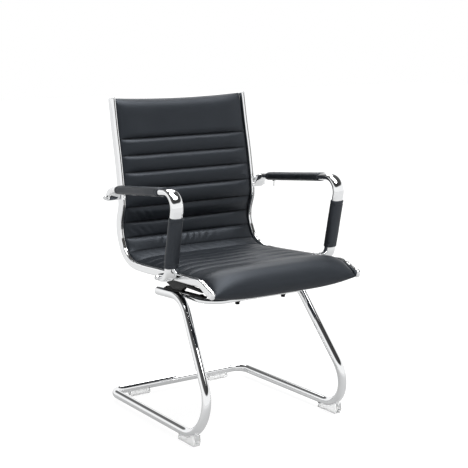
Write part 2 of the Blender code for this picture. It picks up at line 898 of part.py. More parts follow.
def build_underframe():
    """Bow, cross plate, side bars, seat brackets and rear cross bar with their bolts."""
    stretcher = add_object("front_stretcher", bow_mesh(), chrome)
    plate = add_object("front_cross_plate", cross_plate_mesh(), black_steel)
    add_object("rear_cross_bar", rear_cross_bar_mesh(), black_steel)
    add_object("side_bar_right", side_bar_mesh(1), black_steel)
    add_object("side_bar_left", side_bar_mesh(-1), black_steel)
    add_object("seat_bracket_right", bracket_mesh(), black_steel)
    add_object("seat_bracket_left", mirrored(bracket_mesh()), black_steel)
    stack = stretcher_height + joint_gap + cross_plate_thickness + bolt_point_length
    underside = stretcher_z - stretcher_height / 2 - joint_gap
    for side, sign in (("right", 1), ("left", -1)):
        bolt = bolt_mesh(stack)
        bolt.transform(Matrix.Translation((stretcher_bolt_x * sign, stretcher_y, underside)))
        add_object(f"stretcher_bolt_{side}", bolt, black_steel)
        bm = bmesh.new()
        bore = bolt_shank_diameter / 2 + bolt_hole_clearance
        bmesh.ops.create_cone(
            bm, cap_ends=True, segments=bolt_sides, radius1=bore, radius2=bore, depth=stack * 3,
            matrix=Matrix.Translation((stretcher_bolt_x * sign, stretcher_y, stretcher_z)),
        )
        hole = add_cutter(f"bolt_hole_{side}", mesh_from(bm))
        cut(stretcher, hole)
        cut(plate, hole)
    rear_bolt_y = side_bar_rear_y - dome_bolt_diameter
    front_bolt_y = side_bar_rear_y - side_bar_length + dome_bolt_inset
    for place, y in (("rear", rear_bolt_y), ("front", front_bolt_y)):
        for side, sign in (("right", 1), ("left", -1)):
            level = bar_level(y) + side_bar_thickness + joint_gap
            head = dome_mesh(dome_bolt_diameter, dome_bolt_height)
            _, direction = upper_run()
            tilt = Matrix.Rotation(math.atan(direction.y / direction.x), 4, "X")
            head.transform(Matrix.Translation((tube_top_half_spacing * sign, y, level)) @ tilt)
            add_object(f"side_bar_{place}_bolt_{side}", head, black_steel)


# Arms
def arm_tube_mesh():
    """Flat oval tube from the rear foot, round the bend, to the front foot."""
    section = arm_section(0)
    return loft([side_ring(arm, place, section, arm_offset) for place in arm.marks])


def arm_section(growth):
    """The arm tube's outline, grown by a distance on every side."""
    return oval_section(arm_width + 2 * growth, arm_thickness + 2 * growth, arm_oval_power)


def sleeve_mesh(first, last):
    """Leather sleeve round a straight run of the arm tube, with turned-in hems."""
    outer = arm_section(joint_gap + sleeve_wall)
    hem = arm_section(joint_gap + sleeve_wall / 2)
    bore = arm_section(joint_gap)
    outer_rings = [
        side_ring(arm, first, hem, arm_offset),
        side_ring(arm, first + sleeve_hem_length, outer, arm_offset),
        side_ring(arm, last - sleeve_hem_length, outer, arm_offset),
        side_ring(arm, last, hem, arm_offset),
    ]
    return hollow_loft(outer_rings, [side_ring(arm, place, bore, arm_offset) for place in (first, last)])


def top_sleeve_mesh():
    """Sleeve along the arm rest."""
    return sleeve_mesh(0, top_sleeve_length)


def front_sleeve_mesh():
    """Sleeve down the front post, to the front foot."""
    return sleeve_mesh(arm.length - front_sleeve_length, arm.length)


def foot_mesh(line_shares, end, run, drop):
    """Cast foot: flows on from the arm tube and turns to a boss on the rail's outer face."""
    start, direction = end
    points = [Vector((start.x + run * out, start.y - drop * down)) for out, down in line_shares]
    line = Line(smooth(points, 2))
    places = [line.length * step / foot_steps for step in range(foot_steps + 1)]
    places += [line.length + foot_nose_length / 2, line.length + foot_nose_length]
    tube_inner = arm_offset - arm_width / 2
    tube_outer = arm_offset + arm_width / 2
    rail_face = rail_width / 2 + joint_gap
    rings = []
    for place in places:
        blend = ease(place / line.length / foot_flare_share)
        beyond = max(place - line.length, 0) / foot_nose_length
        inner = tube_inner + (rail_face - tube_inner) * blend
        outer = tube_outer + (foot_end_outer_x - tube_outer) * blend
        half = arm_thickness / 2 + (foot_end_half_thickness - arm_thickness / 2) * blend
        half *= math.sqrt(1 - (beyond * foot_nose_share) ** 2)
        power = arm_oval_power + (foot_end_power - arm_oval_power) * blend
        section = oval_section(outer - inner, half * 2, power)
        if rings:
            rings.append(side_ring(line, place, section, (inner + outer) / 2))
        else:
            rings.append(ring_at(start, outward(direction), section, (inner + outer) / 2))
    return loft(rings)


def arm_rear_end():
    """Where the rear foot starts and which way the arm tube's rear end points."""
    point, direction, _ = arm.at(-joint_gap)
    return point, -direction


def arm_front_end():
    """Where the front foot starts and which way the arm tube's lower end points."""
    point, direction, _ = arm.at(arm.length + joint_gap)
    return point, direction


def arm_screw_mesh(end, run, drop):
    """Domed screw that holds a foot's boss against the rail."""
    start, _ = end
    screw = dome_mesh(arm_screw_diameter, arm_screw_length)
    sideways = Matrix.Rotation(math.pi / 2, 4, "Y")
    seat = foot_end_outer_x + joint_gap
    screw.transform(Matrix.Translation((seat, start.x + run, start.y - drop)) @ sideways)
    return screw


def zip_pull_mesh():
    """Small pull that hangs from the zip under the top sleeve."""
    slope = (arm_corner_rise - arm_rear_rise) / (arm_corner_back - arm_rear_back)
    level = rail_low_height + arm_rear_rise + (zip_pull_back - arm_rear_back) * slope
    under = level - arm_thickness / 2 - 2 * joint_gap - sleeve_wall
    bm = bmesh.new()
    place = (arm_offset, tip_y + zip_pull_back, under - joint_gap - zip_pull_length / 2)
    centre = Matrix.Translation(place)
    size = Matrix.Diagonal((zip_pull_width, zip_pull_thickness, zip_pull_length, 1))
    bmesh.ops.create_cube(bm, size=1, matrix=centre @ size)
    bmesh.ops.bevel(
        bm, geom=bm.edges[:], offset=zip_pull_thickness / 4, segments=1, profile=0.5, affect="EDGES",
    )
    return mesh_from(bm)


def build_arms():
    """Arm tubes, leather sleeves, cast feet and their screws on both sides."""
    add_pair("arm_tube", arm_tube_mesh, chrome)
    add_pair("arm_top_sleeve", top_sleeve_mesh, sleeve_leather)
    add_pair("arm_front_sleeve", front_sleeve_mesh, sleeve_leather)
    rear = (arm_rear_end(), rear_foot_run, rear_foot_drop)
    front = (arm_front_end(), front_foot_run, front_foot_drop)
    add_pair("arm_rear_foot", lambda: foot_mesh(rear_foot_line_shares, *rear), cast_chrome)
    add_pair("arm_front_foot", lambda: foot_mesh(front_foot_line_shares, *front), cast_chrome)
    add_pair("arm_rear_screw", lambda: arm_screw_mesh(*rear), chrome)
    add_pair("arm_front_screw", lambda: arm_screw_mesh(*front), chrome)
    add_pair("zip_pull", zip_pull_mesh, chrome)


def build_seat():
    """Rails, their caps and the sling between them."""
    add_pair("side_rail", rail_mesh, chrome)
    add_pair("rail_front_cap", rail_front_cap_mesh, cast_chrome)
    add_pair("rail_top_cap", rail_top_cap_mesh, cast_chrome)
    add_object("leather_sling", sling_mesh(), leather)


def side_empty(name, sign):
    """An empty in the centre plane of a rail, turned by the rail's toe."""
    made = bpy.data.objects.new(name, None)
    chair.objects.link(made)
    made.location = (rail_half_spacing * sign, 0, 0)
    made.rotation_euler = (0, 0, rail_toe_angle * sign)
    return made


clear_scene()
chair = new_collection("visitor_chair")
cutters = new_collection("cutters")
sharp_angle = math.radians(35)

chrome = new_material("polished_chrome_plate", (0.80, 0.81, 0.83), 0.06, 1.0)
cast_chrome = new_material("chromed_die_casting", (0.82, 0.83, 0.85), 0.10, 1.0)
leather = new_material("black_leather", (0.022, 0.024, 0.028), 0.42)
sleeve_leather = new_material("black_sleeve_leather", (0.040, 0.042, 0.047), 0.50)
black_steel = new_material("black_powder_coat", (0.012, 0.012, 0.014), 0.45)
black_plastic = new_material("black_moulded_plastic", (0.015, 0.015, 0.016), 0.55)
clear_plastic = new_material("milky_moulded_plastic", (0.78, 0.79, 0.80), 0.35)

right_side = side_empty("right_side", 1)
left_side = side_empty("left_side", -1)
rail = rail_line()
arm = arm_line()

build_base()
build_underframe()
build_seat()
build_arms()
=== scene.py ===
"""Looks of a cantilever visitor chair with a chrome frame and a ribbed leather sling.

Units are metres and +Z is up. The floor is z = 0 and the sitter faces -Y.
"""
import math

import bmesh
import bpy
from mathutils import Matrix, Quaternion, Vector, noise


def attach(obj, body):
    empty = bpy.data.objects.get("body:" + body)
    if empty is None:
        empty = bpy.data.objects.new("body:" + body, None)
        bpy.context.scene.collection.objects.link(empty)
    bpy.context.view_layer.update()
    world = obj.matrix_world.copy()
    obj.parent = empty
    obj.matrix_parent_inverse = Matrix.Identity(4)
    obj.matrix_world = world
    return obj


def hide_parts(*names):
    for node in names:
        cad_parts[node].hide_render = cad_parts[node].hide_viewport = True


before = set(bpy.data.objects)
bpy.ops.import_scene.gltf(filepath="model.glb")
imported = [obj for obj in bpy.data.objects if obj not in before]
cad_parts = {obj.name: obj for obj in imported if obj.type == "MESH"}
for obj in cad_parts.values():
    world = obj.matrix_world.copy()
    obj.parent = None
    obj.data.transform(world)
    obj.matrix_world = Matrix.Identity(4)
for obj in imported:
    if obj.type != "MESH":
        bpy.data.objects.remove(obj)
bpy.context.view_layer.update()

MM = 0.001
WELD = 0.02 * MM
GAP = 0.3 * MM
SHARP = math.radians(35)

# Side rails
RAIL_HALF_SPACING = 239 * MM
RAIL_TOE = math.radians(1.66)
RAIL_WIDTH = 13 * MM
RAIL_BACK_DEPTH = 28 * MM
RAIL_SEAT_DEPTH = 22 * MM
RAIL_CORNER = 4.5 * MM
RAIL_TOP = 925 * MM
RAIL_LOW = 446 * MM
RAIL_TIP_Y = -297.3 * MM
RAIL_REACH = 570.3 * MM
NARROW_START = 0.36
NARROW_END = 0.56
GROOVE_WIDTH = 3.5 * MM
GROOVE_DEPTH = 3 * MM
GROOVE_OFFSET = -1 * MM
GROOVE_LIP = 0.4 * MM
STRIP_THICKNESS = 1.8 * MM
STRIP_TOP_MARGIN = 2 * MM
STRIP_NOSE_MARGIN = 6 * MM
FRONT_CAP_LENGTH = 18 * MM
FRONT_CAP_SWELL = 1.2 * MM
FRONT_CAP_STRAIGHT = 0.45
FRONT_CAP_ROUND = 0.58
TOP_CAP_THICKNESS = 2.5 * MM
# distance from the end and inset of the top cap's eased edge
TOP_CAP_EDGE = ((0.0, 0.7 * MM), (0.25 * MM, 0.2 * MM), (0.7 * MM, 0.0))
# half width and half height of the ferrule, then its rim: share of those, level in mm
FERRULE = (4.2 * MM, 7.0 * MM)
FERRULE_RIM = ((1.0, -1.5), (1.0, 0.9), (0.93, 1.3), (0.72, 1.3), (0.62, 0.9), (0.6, -0.8))
# places on the rail's line: back from its tip and up, as shares of its reach and rise
RAIL_SHARES = (
    (1.000, 1.000), (0.969, 0.806), (0.941, 0.656), (0.922, 0.534), (0.908, 0.426),
    (0.904, 0.351), (0.914, 0.305), (0.928, 0.253), (0.931, 0.196), (0.923, 0.152),
    (0.911, 0.117), (0.875, 0.052), (0.798, 0.006), (0.691, 0.000), (0.525, 0.010),
    (0.359, 0.021), (0.202, 0.029), (0.125, 0.034), (0.066, 0.009), (0.000, -0.019),
)

# Leather sling
RIBS = 14
TOP_PANEL = 124 * MM
FRONT_PANEL = 151 * MM
NOSE_SETBACK = 5 * MM
EDGE_LEVEL = 1.5 * MM
EDGE_THICKNESS = 8 * MM
EDGE_ROLL = 4 * MM
BACK_CROWN = 12 * MM
SEAT_CROWN = 20 * MM
CROWN_POWER = 8
BACK_BELLY = 10 * MM
SEAT_BELLY = 27 * MM
NOSE_BELLY = 24 * MM
BELLY_POWER = 3
NOSE_BELLY_POWER = 4.5
NOSE_EDGE_DROP = 10 * MM
NOSE_FILL = 200 * MM
NOSE_FILL_SHARE = 0.8
RIB_PEAK = 0.32
RIB_SAG = 2.4
EVEN_RIB_POWER = 0.6
BACK_RIB_DEPTH = 9.5 * MM
SEAT_RIB_DEPTH = 6 * MM
SEAM_SHOULDER = 16 * MM
TOP_ROUND = 54 * MM
TOP_POWER = 2.0
TOP_SET_BACK = 0.8
NOSE_ROUND = 30 * MM
NOSE_POWER = 2.6
NOSE_TOP_ROUND = 52 * MM
NOSE_BULGE = 13 * MM
NOSE_BULGE_BACK = 50 * MM
NOSE_BULGE_REACH = 40 * MM
TOP_DIP = 7 * MM
EDGE_TUCK = 3 * MM
EDGE_TUCK_REACH = 5 * MM
UPPER_COLUMNS = 120
ROLL_STEPS = 6
SEAM_SHARE = 0.05
SEAM_DENT = 1.2 * MM
REAR_SEAM_DENT = 1.5 * MM
STITCH_MARGIN = 7 * MM
STITCH_PITCH = 5.5 * MM
THREAD = 0.45 * MM

# Folds of the leather, with ribs counted down from the top
BEND_RIBS = range(3, 10)
BEND_SLACK = 0.9 * MM
SLACK = 0.4 * MM
DRIFT = 0.9 * MM
FINE_DRIFT = 0.35 * MM
PUCKER_RIB = 6
PUCKER = 1.1 * MM
PUCKER_PITCH = 24 * MM
RIPPLE_RIBS = (7, 8)
RIPPLE = 0.25 * MM
RIPPLE_PITCH = 31 * MM
SIDE_FOLD_RIBS = {4: 1.0, 5: 0.45}
SIDE_FOLD = 1.8 * MM
SIDE_FOLD_PITCH = 21 * MM

# Arms
ARM_OFFSET = 32.6 * MM
ARM_WIDTH = 37 * MM
ARM_THICKNESS = 20 * MM
ARM_BEND = 40 * MM
ARM_REAR = (183.1 * MM, 666.5 * MM)
ARM_BEND_POINT = (-172.9 * MM, 702.3 * MM)
ARM_FOOT = (-128.8 * MM, 490.9 * MM)
OVAL_POWER = 2.5
OVAL_STEPS = 56
SLEEVE_WALL = 2.2 * MM
TOP_SLEEVE_START = 20 * MM
TOP_SLEEVE = 272 * MM
FRONT_SLEEVE = 145 * MM
HEM = 11 * MM
HEM_DENT = 0.9 * MM
HEM_DENT_REACH = 1.1 * MM
HEM_STITCHES = 2.6 * MM
SLEEVE_ROLL = 2.4 * MM
SLEEVE_EDGE = 4 * MM
SLEEVE_WAVE = 0.6 * MM
ZIP_PULL_Y = 143 * MM
ZIP_TEETH = 115
ZIP_PITCH = 2 * MM
ZIP_TOOTH = (2.2 * MM, 0.9 * MM, 1.4 * MM)
ZIP_SLIDER = (6.5 * MM, 8 * MM, 3.2 * MM)
ZIP_RING = (3.2 * MM, 1.1 * MM)
ZIP_RING_DROP = 5.8 * MM
ZIP_TAB = (5 * MM, 1.6 * MM, 11 * MM)
ZIP_TAB_DROP = 13.6 * MM

# Arm feet: the shares of their curve back and down, how far back and down its end is, and the
# share of its length at which it starts to reach inwards
FOOT_END_HALF = 10.5 * MM
FOOT_END_OUTER = 47.5 * MM
FOOT_NOSE = 9.5 * MM
FOOT_POWER = 6.0
REAR_FOOT = (
    ((0.0, 0.0), (0.32, 0.10), (0.63, 0.33), (0.86, 0.66), (1.0, 1.0)),
    40.4 * MM, 27.5 * MM, 0.0,
)
FRONT_FOOT = (
    ((0.0, 0.0), (0.06, 0.38), (0.22, 0.72), (0.50, 0.93), (0.78, 0.99), (1.0, 1.0)),
    47.3 * MM, 33.9 * MM, 0.5,
)
# Screw heads: radius, height and radius of the socket
ARM_SCREW = (6.5 * MM, 8.5 * MM, 2.8 * MM)
BAR_SCREW = (7 * MM, 4 * MM, 2.5 * MM)

# Base tube and the steel under the seat
TUBE = 25.4 * MM
TUBE_WALL = 2 * MM
TUBE_CORNERS = (
    (240.3 * MM, 286.3 * MM, 25.2 * MM),
    (250.2 * MM, -330.8 * MM, 25.2 * MM),
    (199.2 * MM, -62.7 * MM, 387 * MM),
    (199.2 * MM, 68.5 * MM, 380 * MM),
)
TUBE_RADII = (92 * MM, 92 * MM, 40 * MM)
TUBE_BORE = 12 * MM
UPPER_RUN_X = TUBE_CORNERS[-1][0]
PLUG_HEAD = 2.5 * MM
PLUG_STEM = 11 * MM
RUN_SLOPE = (
    (TUBE_CORNERS[2][2] - TUBE_CORNERS[3][2]) / (TUBE_CORNERS[2][1] - TUBE_CORNERS[3][1])
)
BOW_Y = -160.5 * MM
BOW_Z = 384.5 * MM
BOW_SIDE_LENGTH = 145 * MM
BOW_BEND = 55 * MM
BOW_WIDTH = 24 * MM
BOW_HEIGHT = 11 * MM
BOW_CORNER = 4 * MM
BOLT_X = 79.3 * MM
# the bolt's hexagon: radius and height, then the level of its top
BOLT_HEAD = (6.5 * MM, 7 * MM)
BOLT_HEAD_TOP = -2.2 * MM
# profiles of the bolt's flange and shank: radius and height in mm
BOLT_FLANGE = ((0, 0), (8.4, 0), (9, -0.6), (9, -1.2), (6.4, -2.3), (0, -2.3))
BOLT_SHANK = ((0, 18.3), (3.2, 18.3), (4, 17), (4, 0), (0, 0))
WELD_Y = -38 * MM
WELD_LIFT = 4 * MM
WELD_SIZE = (2.6 * MM, 21 * MM, 2.4 * MM)
WELD_RIPPLE = 0.25 * MM
PLATE = (220 * MM, 30 * MM, 4 * MM)
REAR_BAR = (414.4 * MM, 30 * MM, 7 * MM)
REAR_BAR_Y = -8.5 * MM
SIDE_BAR_WIDTH = 16 * MM
SIDE_BAR_THICKNESS = 4 * MM
SIDE_BAR_REAR_Y = 30.5 * MM
SIDE_BAR_LENGTH = 214 * MM
BRACKET_RAIL_Y = (-30.3 * MM, -165.3 * MM)
BRACKET_BAR_Y = (-25.3 * MM, -65.3 * MM)
BRACKET_HALF = 5.5 * MM
BRACKET_FOOT_HALF = 7 * MM
BRACKET_GAP = 0.5 * MM
FLANGE_END_Y = -245 * MM
FLANGE_DEPTH = 9 * MM
FLANGE_TAPER = 0.4
BAR_SCREW_Y = {"rear": 16.5 * MM, "front": -161.5 * MM}

# Camera fitted to the photograph: its width and focal length in pixels, place, and angles in
# degrees for looking down, rolling and turning
PHOTO_WIDTH = 468
PHOTO_FOCAL = 1211.82
CAMERA_PLACE = (-1.94512, -2.88425, 1.17872)
CAMERA_DOWN = 10.464
CAMERA_ROLL = -0.01
CAMERA_TURN = -34.244

# Studio: half the floor's side in metres, how bright it is to the eye and, near and far, in
# the chrome, where it is painted dimmer near the chair as a painted shadow, and how many metres
# out near and far are
FLOOR_HALF = 12
FLOOR_GLOW = 0.92
GLOSS_GLOW_WITH_PAINTED_SHADOW = (0.40, 0.60)
PAINTED_SHADOW_REACH = (0.3, 1.8)
# How bright the cove is, the sines of elevation between which it ends, the way to the
# ceiling's brighter side, and how bright the ceiling is from its dim side to that one
COVE = 1.0
COVE_TOP = (0.36, 0.48)
BRIGHT_SIDE = (-0.31, 0.95, 0.0)
CEILING = (0.03, 0.16)
# Softboxes: direction towards each, half its spread in degrees, brightness
SOFTBOXES = (
    ((0.14, -0.03, 0.99), 17, 8.0),
    ((0.35, 0.56, 0.75), 15, 6.0),
    ((0.30, -0.38, 0.87), 14, 12.0),
)


# Small helpers
def ease(share):
    """Go smoothly from 0 to 1."""
    share = min(max(share, 0.0), 1.0)
    return share * share * (3 - 2 * share)


def smooth(points, steps):
    """Run a smooth curve through points, with a few steps between each two."""
    made = []
    ends = [points[0] * 2 - points[1], *points, points[-1] * 2 - points[-2]]
    for before, start, end, after in zip(ends, ends[1:], ends[2:], ends[3:]):
        for step in range(steps):
            t = step / steps
            made.append(
                start
                + (end - before) * (t / 2)
                + (before * 2 - start * 5 + end * 4 - after) * (t * t / 2)
                + (start * 3 - before - end * 3 + after) * (t * t * t / 2)
            )
    made.append(points[-1])
    return made


def rounded_path(corners, radii, steps):
    """Join straight runs by round bends."""
    made = [corners[0]]
    for before, corner, after, radius in zip(corners, corners[1:], corners[2:], radii):
        back = (before - corner).normalized()
        ahead = (after - corner).normalized()
        half_angle = back.angle(ahead) / 2
        centre = corner + (back + ahead).normalized() * (radius / math.sin(half_angle))
        reach = radius / math.tan(half_angle)
        start = corner + back * reach - centre
        end = corner + ahead * reach - centre
        axis = start.cross(end)
        for step in range(steps + 1):
            turn = Quaternion(axis, start.angle(end) * step / steps)
            made.append(centre + turn @ start)
    made.append(corners[-1])
    return made


def outward(direction):
    """Turn a direction to the outer side of its line."""
    return Vector((direction.y, -direction.x))


class Line:
    """A line in a vertical plane that is read by its distance from the start."""

    def __init__(self, points):
        self.points = points
        self.marks = [0.0]
        for start, end in zip(points, points[1:]):
            self.marks.append(self.marks[-1] + (end - start).length)
        self.length = self.marks[-1]

    def at(self, distance):
        """Give the point, the direction and the outward normal at a distance."""
        index = 0
        while index < len(self.points) - 2 and self.marks[index + 1] < distance:
            index += 1
        share = (distance - self.marks[index]) / (self.marks[index + 1] - self.marks[index])
        start, end = self.points[index], self.points[index + 1]
        before = self.points[max(index - 1, 0)]
        after = self.points[min(index + 2, len(self.points) - 1)]
        first = (end - before).normalized()
        second = (after - start).normalized()
        direction = first.lerp(second, min(max(share, 0), 1)).normalized()
        return start.lerp(end, share), direction, outward(direction)


def quarter_round(steps, power=2.0):
    """Shares along and left over, from 0 and 1 to 1 and 0; a higher power is squarer."""
    made = []
    for step in range(steps + 1):
        turn = step / steps * math.pi / 2
        made.append([max(part, 0.0) ** (2 / power) for part in (math.sin(turn), math.cos(turn))])
    return made


def rounded_section(width, depth, radius, steps):
    """Outline of a rounded rectangle, given as across and normal pairs."""
    made = []
    for across, normal, quarter in ((1, 1, 0), (-1, 1, 1), (-1, -1, 2), (1, -1, 3)):
        for step in range(steps + 1):
            angle = (quarter + step / steps) * math.pi / 2
            made.append((
                across * (width / 2 - radius) + radius * math.cos(angle),
                normal * (depth / 2 - radius) + radius * math.sin(angle),
            ))
    return made


def oval_section(width, depth, power):
    """Outline of an oval; the higher its power, the nearer it comes to a rectangle."""
    made = []
    for step in range(OVAL_STEPS):
        angle = math.tau * step / OVAL_STEPS
        across = math.copysign(abs(math.cos(angle)) ** (2 / power), math.cos(angle))
        normal = math.copysign(abs(math.sin(angle)) ** (2 / power), math.sin(angle))
        made.append((across * width / 2, normal * depth / 2))
    return made


def ring_at(point, normal, section, offset=0.0):
    """Set a section at a point of a side plane, with its height along a normal."""
    ring = []
    for across, height in section:
        place = point + normal * height
        ring.append(Vector((offset + across, place.x, place.y)))
    return ring


def side_ring(line, distance, section, offset=0.0):
    """Set a section square to a line at a distance along it."""
    point, _, normal = line.at(distance)
    return ring_at(point, normal, section, offset)


def swept_rings(path, section):
    """Carry a section along a path in space without twisting it; it starts level."""
    rings = []
    side = None
    for index, point in enumerate(path):
        ahead = (path[min(index + 1, len(path) - 1)] - path[max(index - 1, 0)]).normalized()
        if side is None:
            side = ahead.cross(Vector((0, 0, 1))).normalized()
        side = (side - ahead * side.dot(ahead)).normalized()
        lift = side.cross(ahead)
        rings.append([point + side * across + lift * height for across, height in section])
    return rings


def bent_grid(rings, capped=True, seams=()):
    """Bend a grid round rings of points, weld where it meets itself and close its ends.

    Seams, where given, say how deep in a seam each point lies, for the painted shade in the
    leather's seams.
    """
    columns = len(rings[0])
    bm = bmesh.new()
    bmesh.ops.create_grid(bm, x_segments=columns, y_segments=len(rings) - 1, size=1)
    layer = bm.verts.layers.float.new("seam") if seams else None
    bm.verts.ensure_lookup_table()
    for row, ring in enumerate(rings):
        for column in range(columns + 1):
            vert = bm.verts[row * (columns + 1) + column]
            vert.co = ring[column % columns]
            if seams:
                vert[layer] = seams[row][column % columns]
    bmesh.ops.remove_doubles(bm, verts=bm.verts, dist=WELD)
    if capped:
        rims = [edge for edge in bm.edges if edge.is_boundary]
        bmesh.ops.holes_fill(bm, edges=rims, sides=0)
    return bm


def turned(profile):
    """Spin a profile of radius and height pairs about Z."""
    bm = bmesh.new()
    chain = [bm.verts.new((radius, 0, height)) for radius, height in profile]
    edges = [bm.edges.new(pair) for pair in zip(chain, chain[1:])]
    bmesh.ops.spin(
        bm, geom=chain + edges, cent=(0, 0, 0), axis=(0, 0, 1), angle=math.tau,
        steps=48, use_merge=True,
    )
    bmesh.ops.remove_doubles(bm, verts=bm.verts, dist=WELD)
    return bm


def wire_ring(radius, wire):
    """A round ring of wire in the YZ plane."""
    bm = bmesh.new()
    turn = Matrix.Translation((0, radius, 0))
    made = bmesh.ops.create_circle(bm, segments=12, radius=wire / 2, matrix=turn)["verts"]
    edges = list({edge for vert in made for edge in vert.link_edges})
    bmesh.ops.spin(
        bm, geom=made + edges, cent=(0, 0, 0), axis=(1, 0, 0), angle=math.tau,
        steps=28, use_merge=True,
    )
    bmesh.ops.remove_doubles(bm, verts=bm.verts, dist=WELD)
    return bm


def add_box(bm, centre, size):
    """Add a box of a size at a centre."""
    place = Matrix.Translation(centre) @ Matrix.Diagonal((*size, 1))
    bmesh.ops.create_cube(bm, size=1, matrix=place)


def joined(parts):
    """Put several bmeshes into one."""
    bm = bmesh.new()
    for part in parts:
        mesh = bpy.data.meshes.new("part")
        part.to_mesh(mesh)
        part.free()
        bm.from_mesh(mesh)
        bpy.data.meshes.remove(mesh)
    return bm


def moved(bm, matrix):
    """Move a bmesh by a matrix."""
    bmesh.ops.transform(bm, matrix=matrix, verts=bm.verts)
    return bm


def softened(bm, width, segments=2, angle=math.radians(30)):
    """Bevel the edges that turn by more than an angle."""
    edges = [
        edge for edge in bm.edges
        if len(edge.link_faces) == 2 and edge.calc_face_angle(0) > angle
    ]
    bmesh.ops.bevel(
        bm, geom=edges, offset=width, segments=segments, profile=0.5, affect="EDGES", material=-1,
    )
    return bm


def add_piece(name, bm, finish, stands_for=(), sharp=SHARP):
    """Finish a bmesh as a piece of the chair."""
    bmesh.ops.recalc_face_normals(bm, faces=bm.faces)
    mesh = bpy.data.meshes.new(name)
    bm.to_mesh(mesh)
    bm.free()
    mesh.materials.append(finish)
    mesh.shade_smooth()
    mesh.set_sharp_from_angle(angle=sharp)
    piece = bpy.data.objects.new(name, mesh)
    bpy.context.scene.collection.objects.link(piece)
    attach(piece, "root")
    if stands_for:
        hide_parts(*stands_for)
    return piece


RIGHT_SIDE = Matrix.Translation((RAIL_HALF_SPACING, 0, 0)) @ Matrix.Rotation(RAIL_TOE, 4, "Z")
STRAIGHT = Matrix.Identity(4)
MIRROR = Matrix.Scale(-1, 4, (1, 0, 0))


def add_pair(name, make, finish, stands_for=(), place=RIGHT_SIDE, sizes=()):
    """Make a piece for the right side, from its sizes, and its mirror twin for the left."""
    made = []
    for side, matrix in (("right", place), ("left", MIRROR @ place)):
        nodes = [f"{node}_{side}" for node in stands_for]
        bm = moved(make(*sizes), matrix)
        made.append(add_piece(f"{name}_{side}", bm, finish, nodes))
    return made


# Materials
# the leather's pigment coat reflects a little bluer than the light
COOL_SHEEN = (0.80, 0.88, 1.0, 1.0)


def srgb(text):
    """Turn an sRGB hex colour into the linear colour that a shader takes."""
    parts = [int(text[place:place + 2], 16) / 255 for place in (1, 3, 5)]
    linear = [
        part / 12.92 if part <= 0.04045 else ((part + 0.055) / 1.055) ** 2.4 for part in parts
    ]
    return (*linear, 1.0)


def set_inputs(tree, node, inputs):
    """Give each named input of a node a value or a link."""
    for socket, value in dict(inputs).items():
        if isinstance(value, bpy.types.NodeSocket):
            tree.links.new(value, node.inputs[socket])
        else:
            node.inputs[socket].default_value = value


def add_node(tree, kind, inputs=(), **settings):
    """Add a node with its properties and inputs."""
    node = tree.nodes.new(kind)
    for name, value in settings.items():
        setattr(node, name, value)
    set_inputs(tree, node, inputs)
    return node


def new_finish(name, **sockets):
    """Start a material; give it, its tree, its shader and the place its patterns start from."""
    finish = bpy.data.materials.new(name)
    finish.use_nodes = True
    tree = finish.node_tree
    shader = tree.nodes["Principled BSDF"]
    for socket, value in sockets.items():
        shader.inputs[socket.replace("_", " ")].default_value = value
    return finish, tree, shader, add_node(tree, "ShaderNodeTexCoord").outputs["Object"]


def per_mm(size):
    """Texture scale whose features are about a size in millimetres."""
    return 1000 / size


def polished_chrome(name, roughness, smear, wave_mm, wave_height):
    """Bright chrome plate over a buffed metal: a mirror with faint smears and slow waves."""
    finish, tree, shader, place = new_finish(name, Metallic=1.0)
    smears = add_node(tree, "ShaderNodeTexNoise", {
        "Vector": place, "Scale": per_mm(34), "Detail": 3.0,
    })
    spread = add_node(tree, "ShaderNodeMapRange", {
        "Value": smears.outputs["Fac"], "From Min": 0.35, "From Max": 0.75,
        "To Min": roughness, "To Max": roughness + smear,
    })
    tint = add_node(tree, "ShaderNodeMix", {
        "Factor": smears.outputs["Fac"], "A": srgb("#eff0f2"), "B": srgb("#f6f7f7"),
    }, data_type="RGBA")
    waves = add_node(tree, "ShaderNodeTexNoise", {
        "Vector": place, "Scale": per_mm(wave_mm), "Detail": 1.0,
    })
    bump = add_node(tree, "ShaderNodeBump", {
        "Height": waves.outputs["Fac"], "Distance": wave_height, "Strength": 0.5,
    })
    set_inputs(tree, shader, {
        "Base Color": tint.outputs["Result"], "Roughness": spread.outputs["Result"],
        "Normal": bump.outputs["Normal"],
    })
    return finish


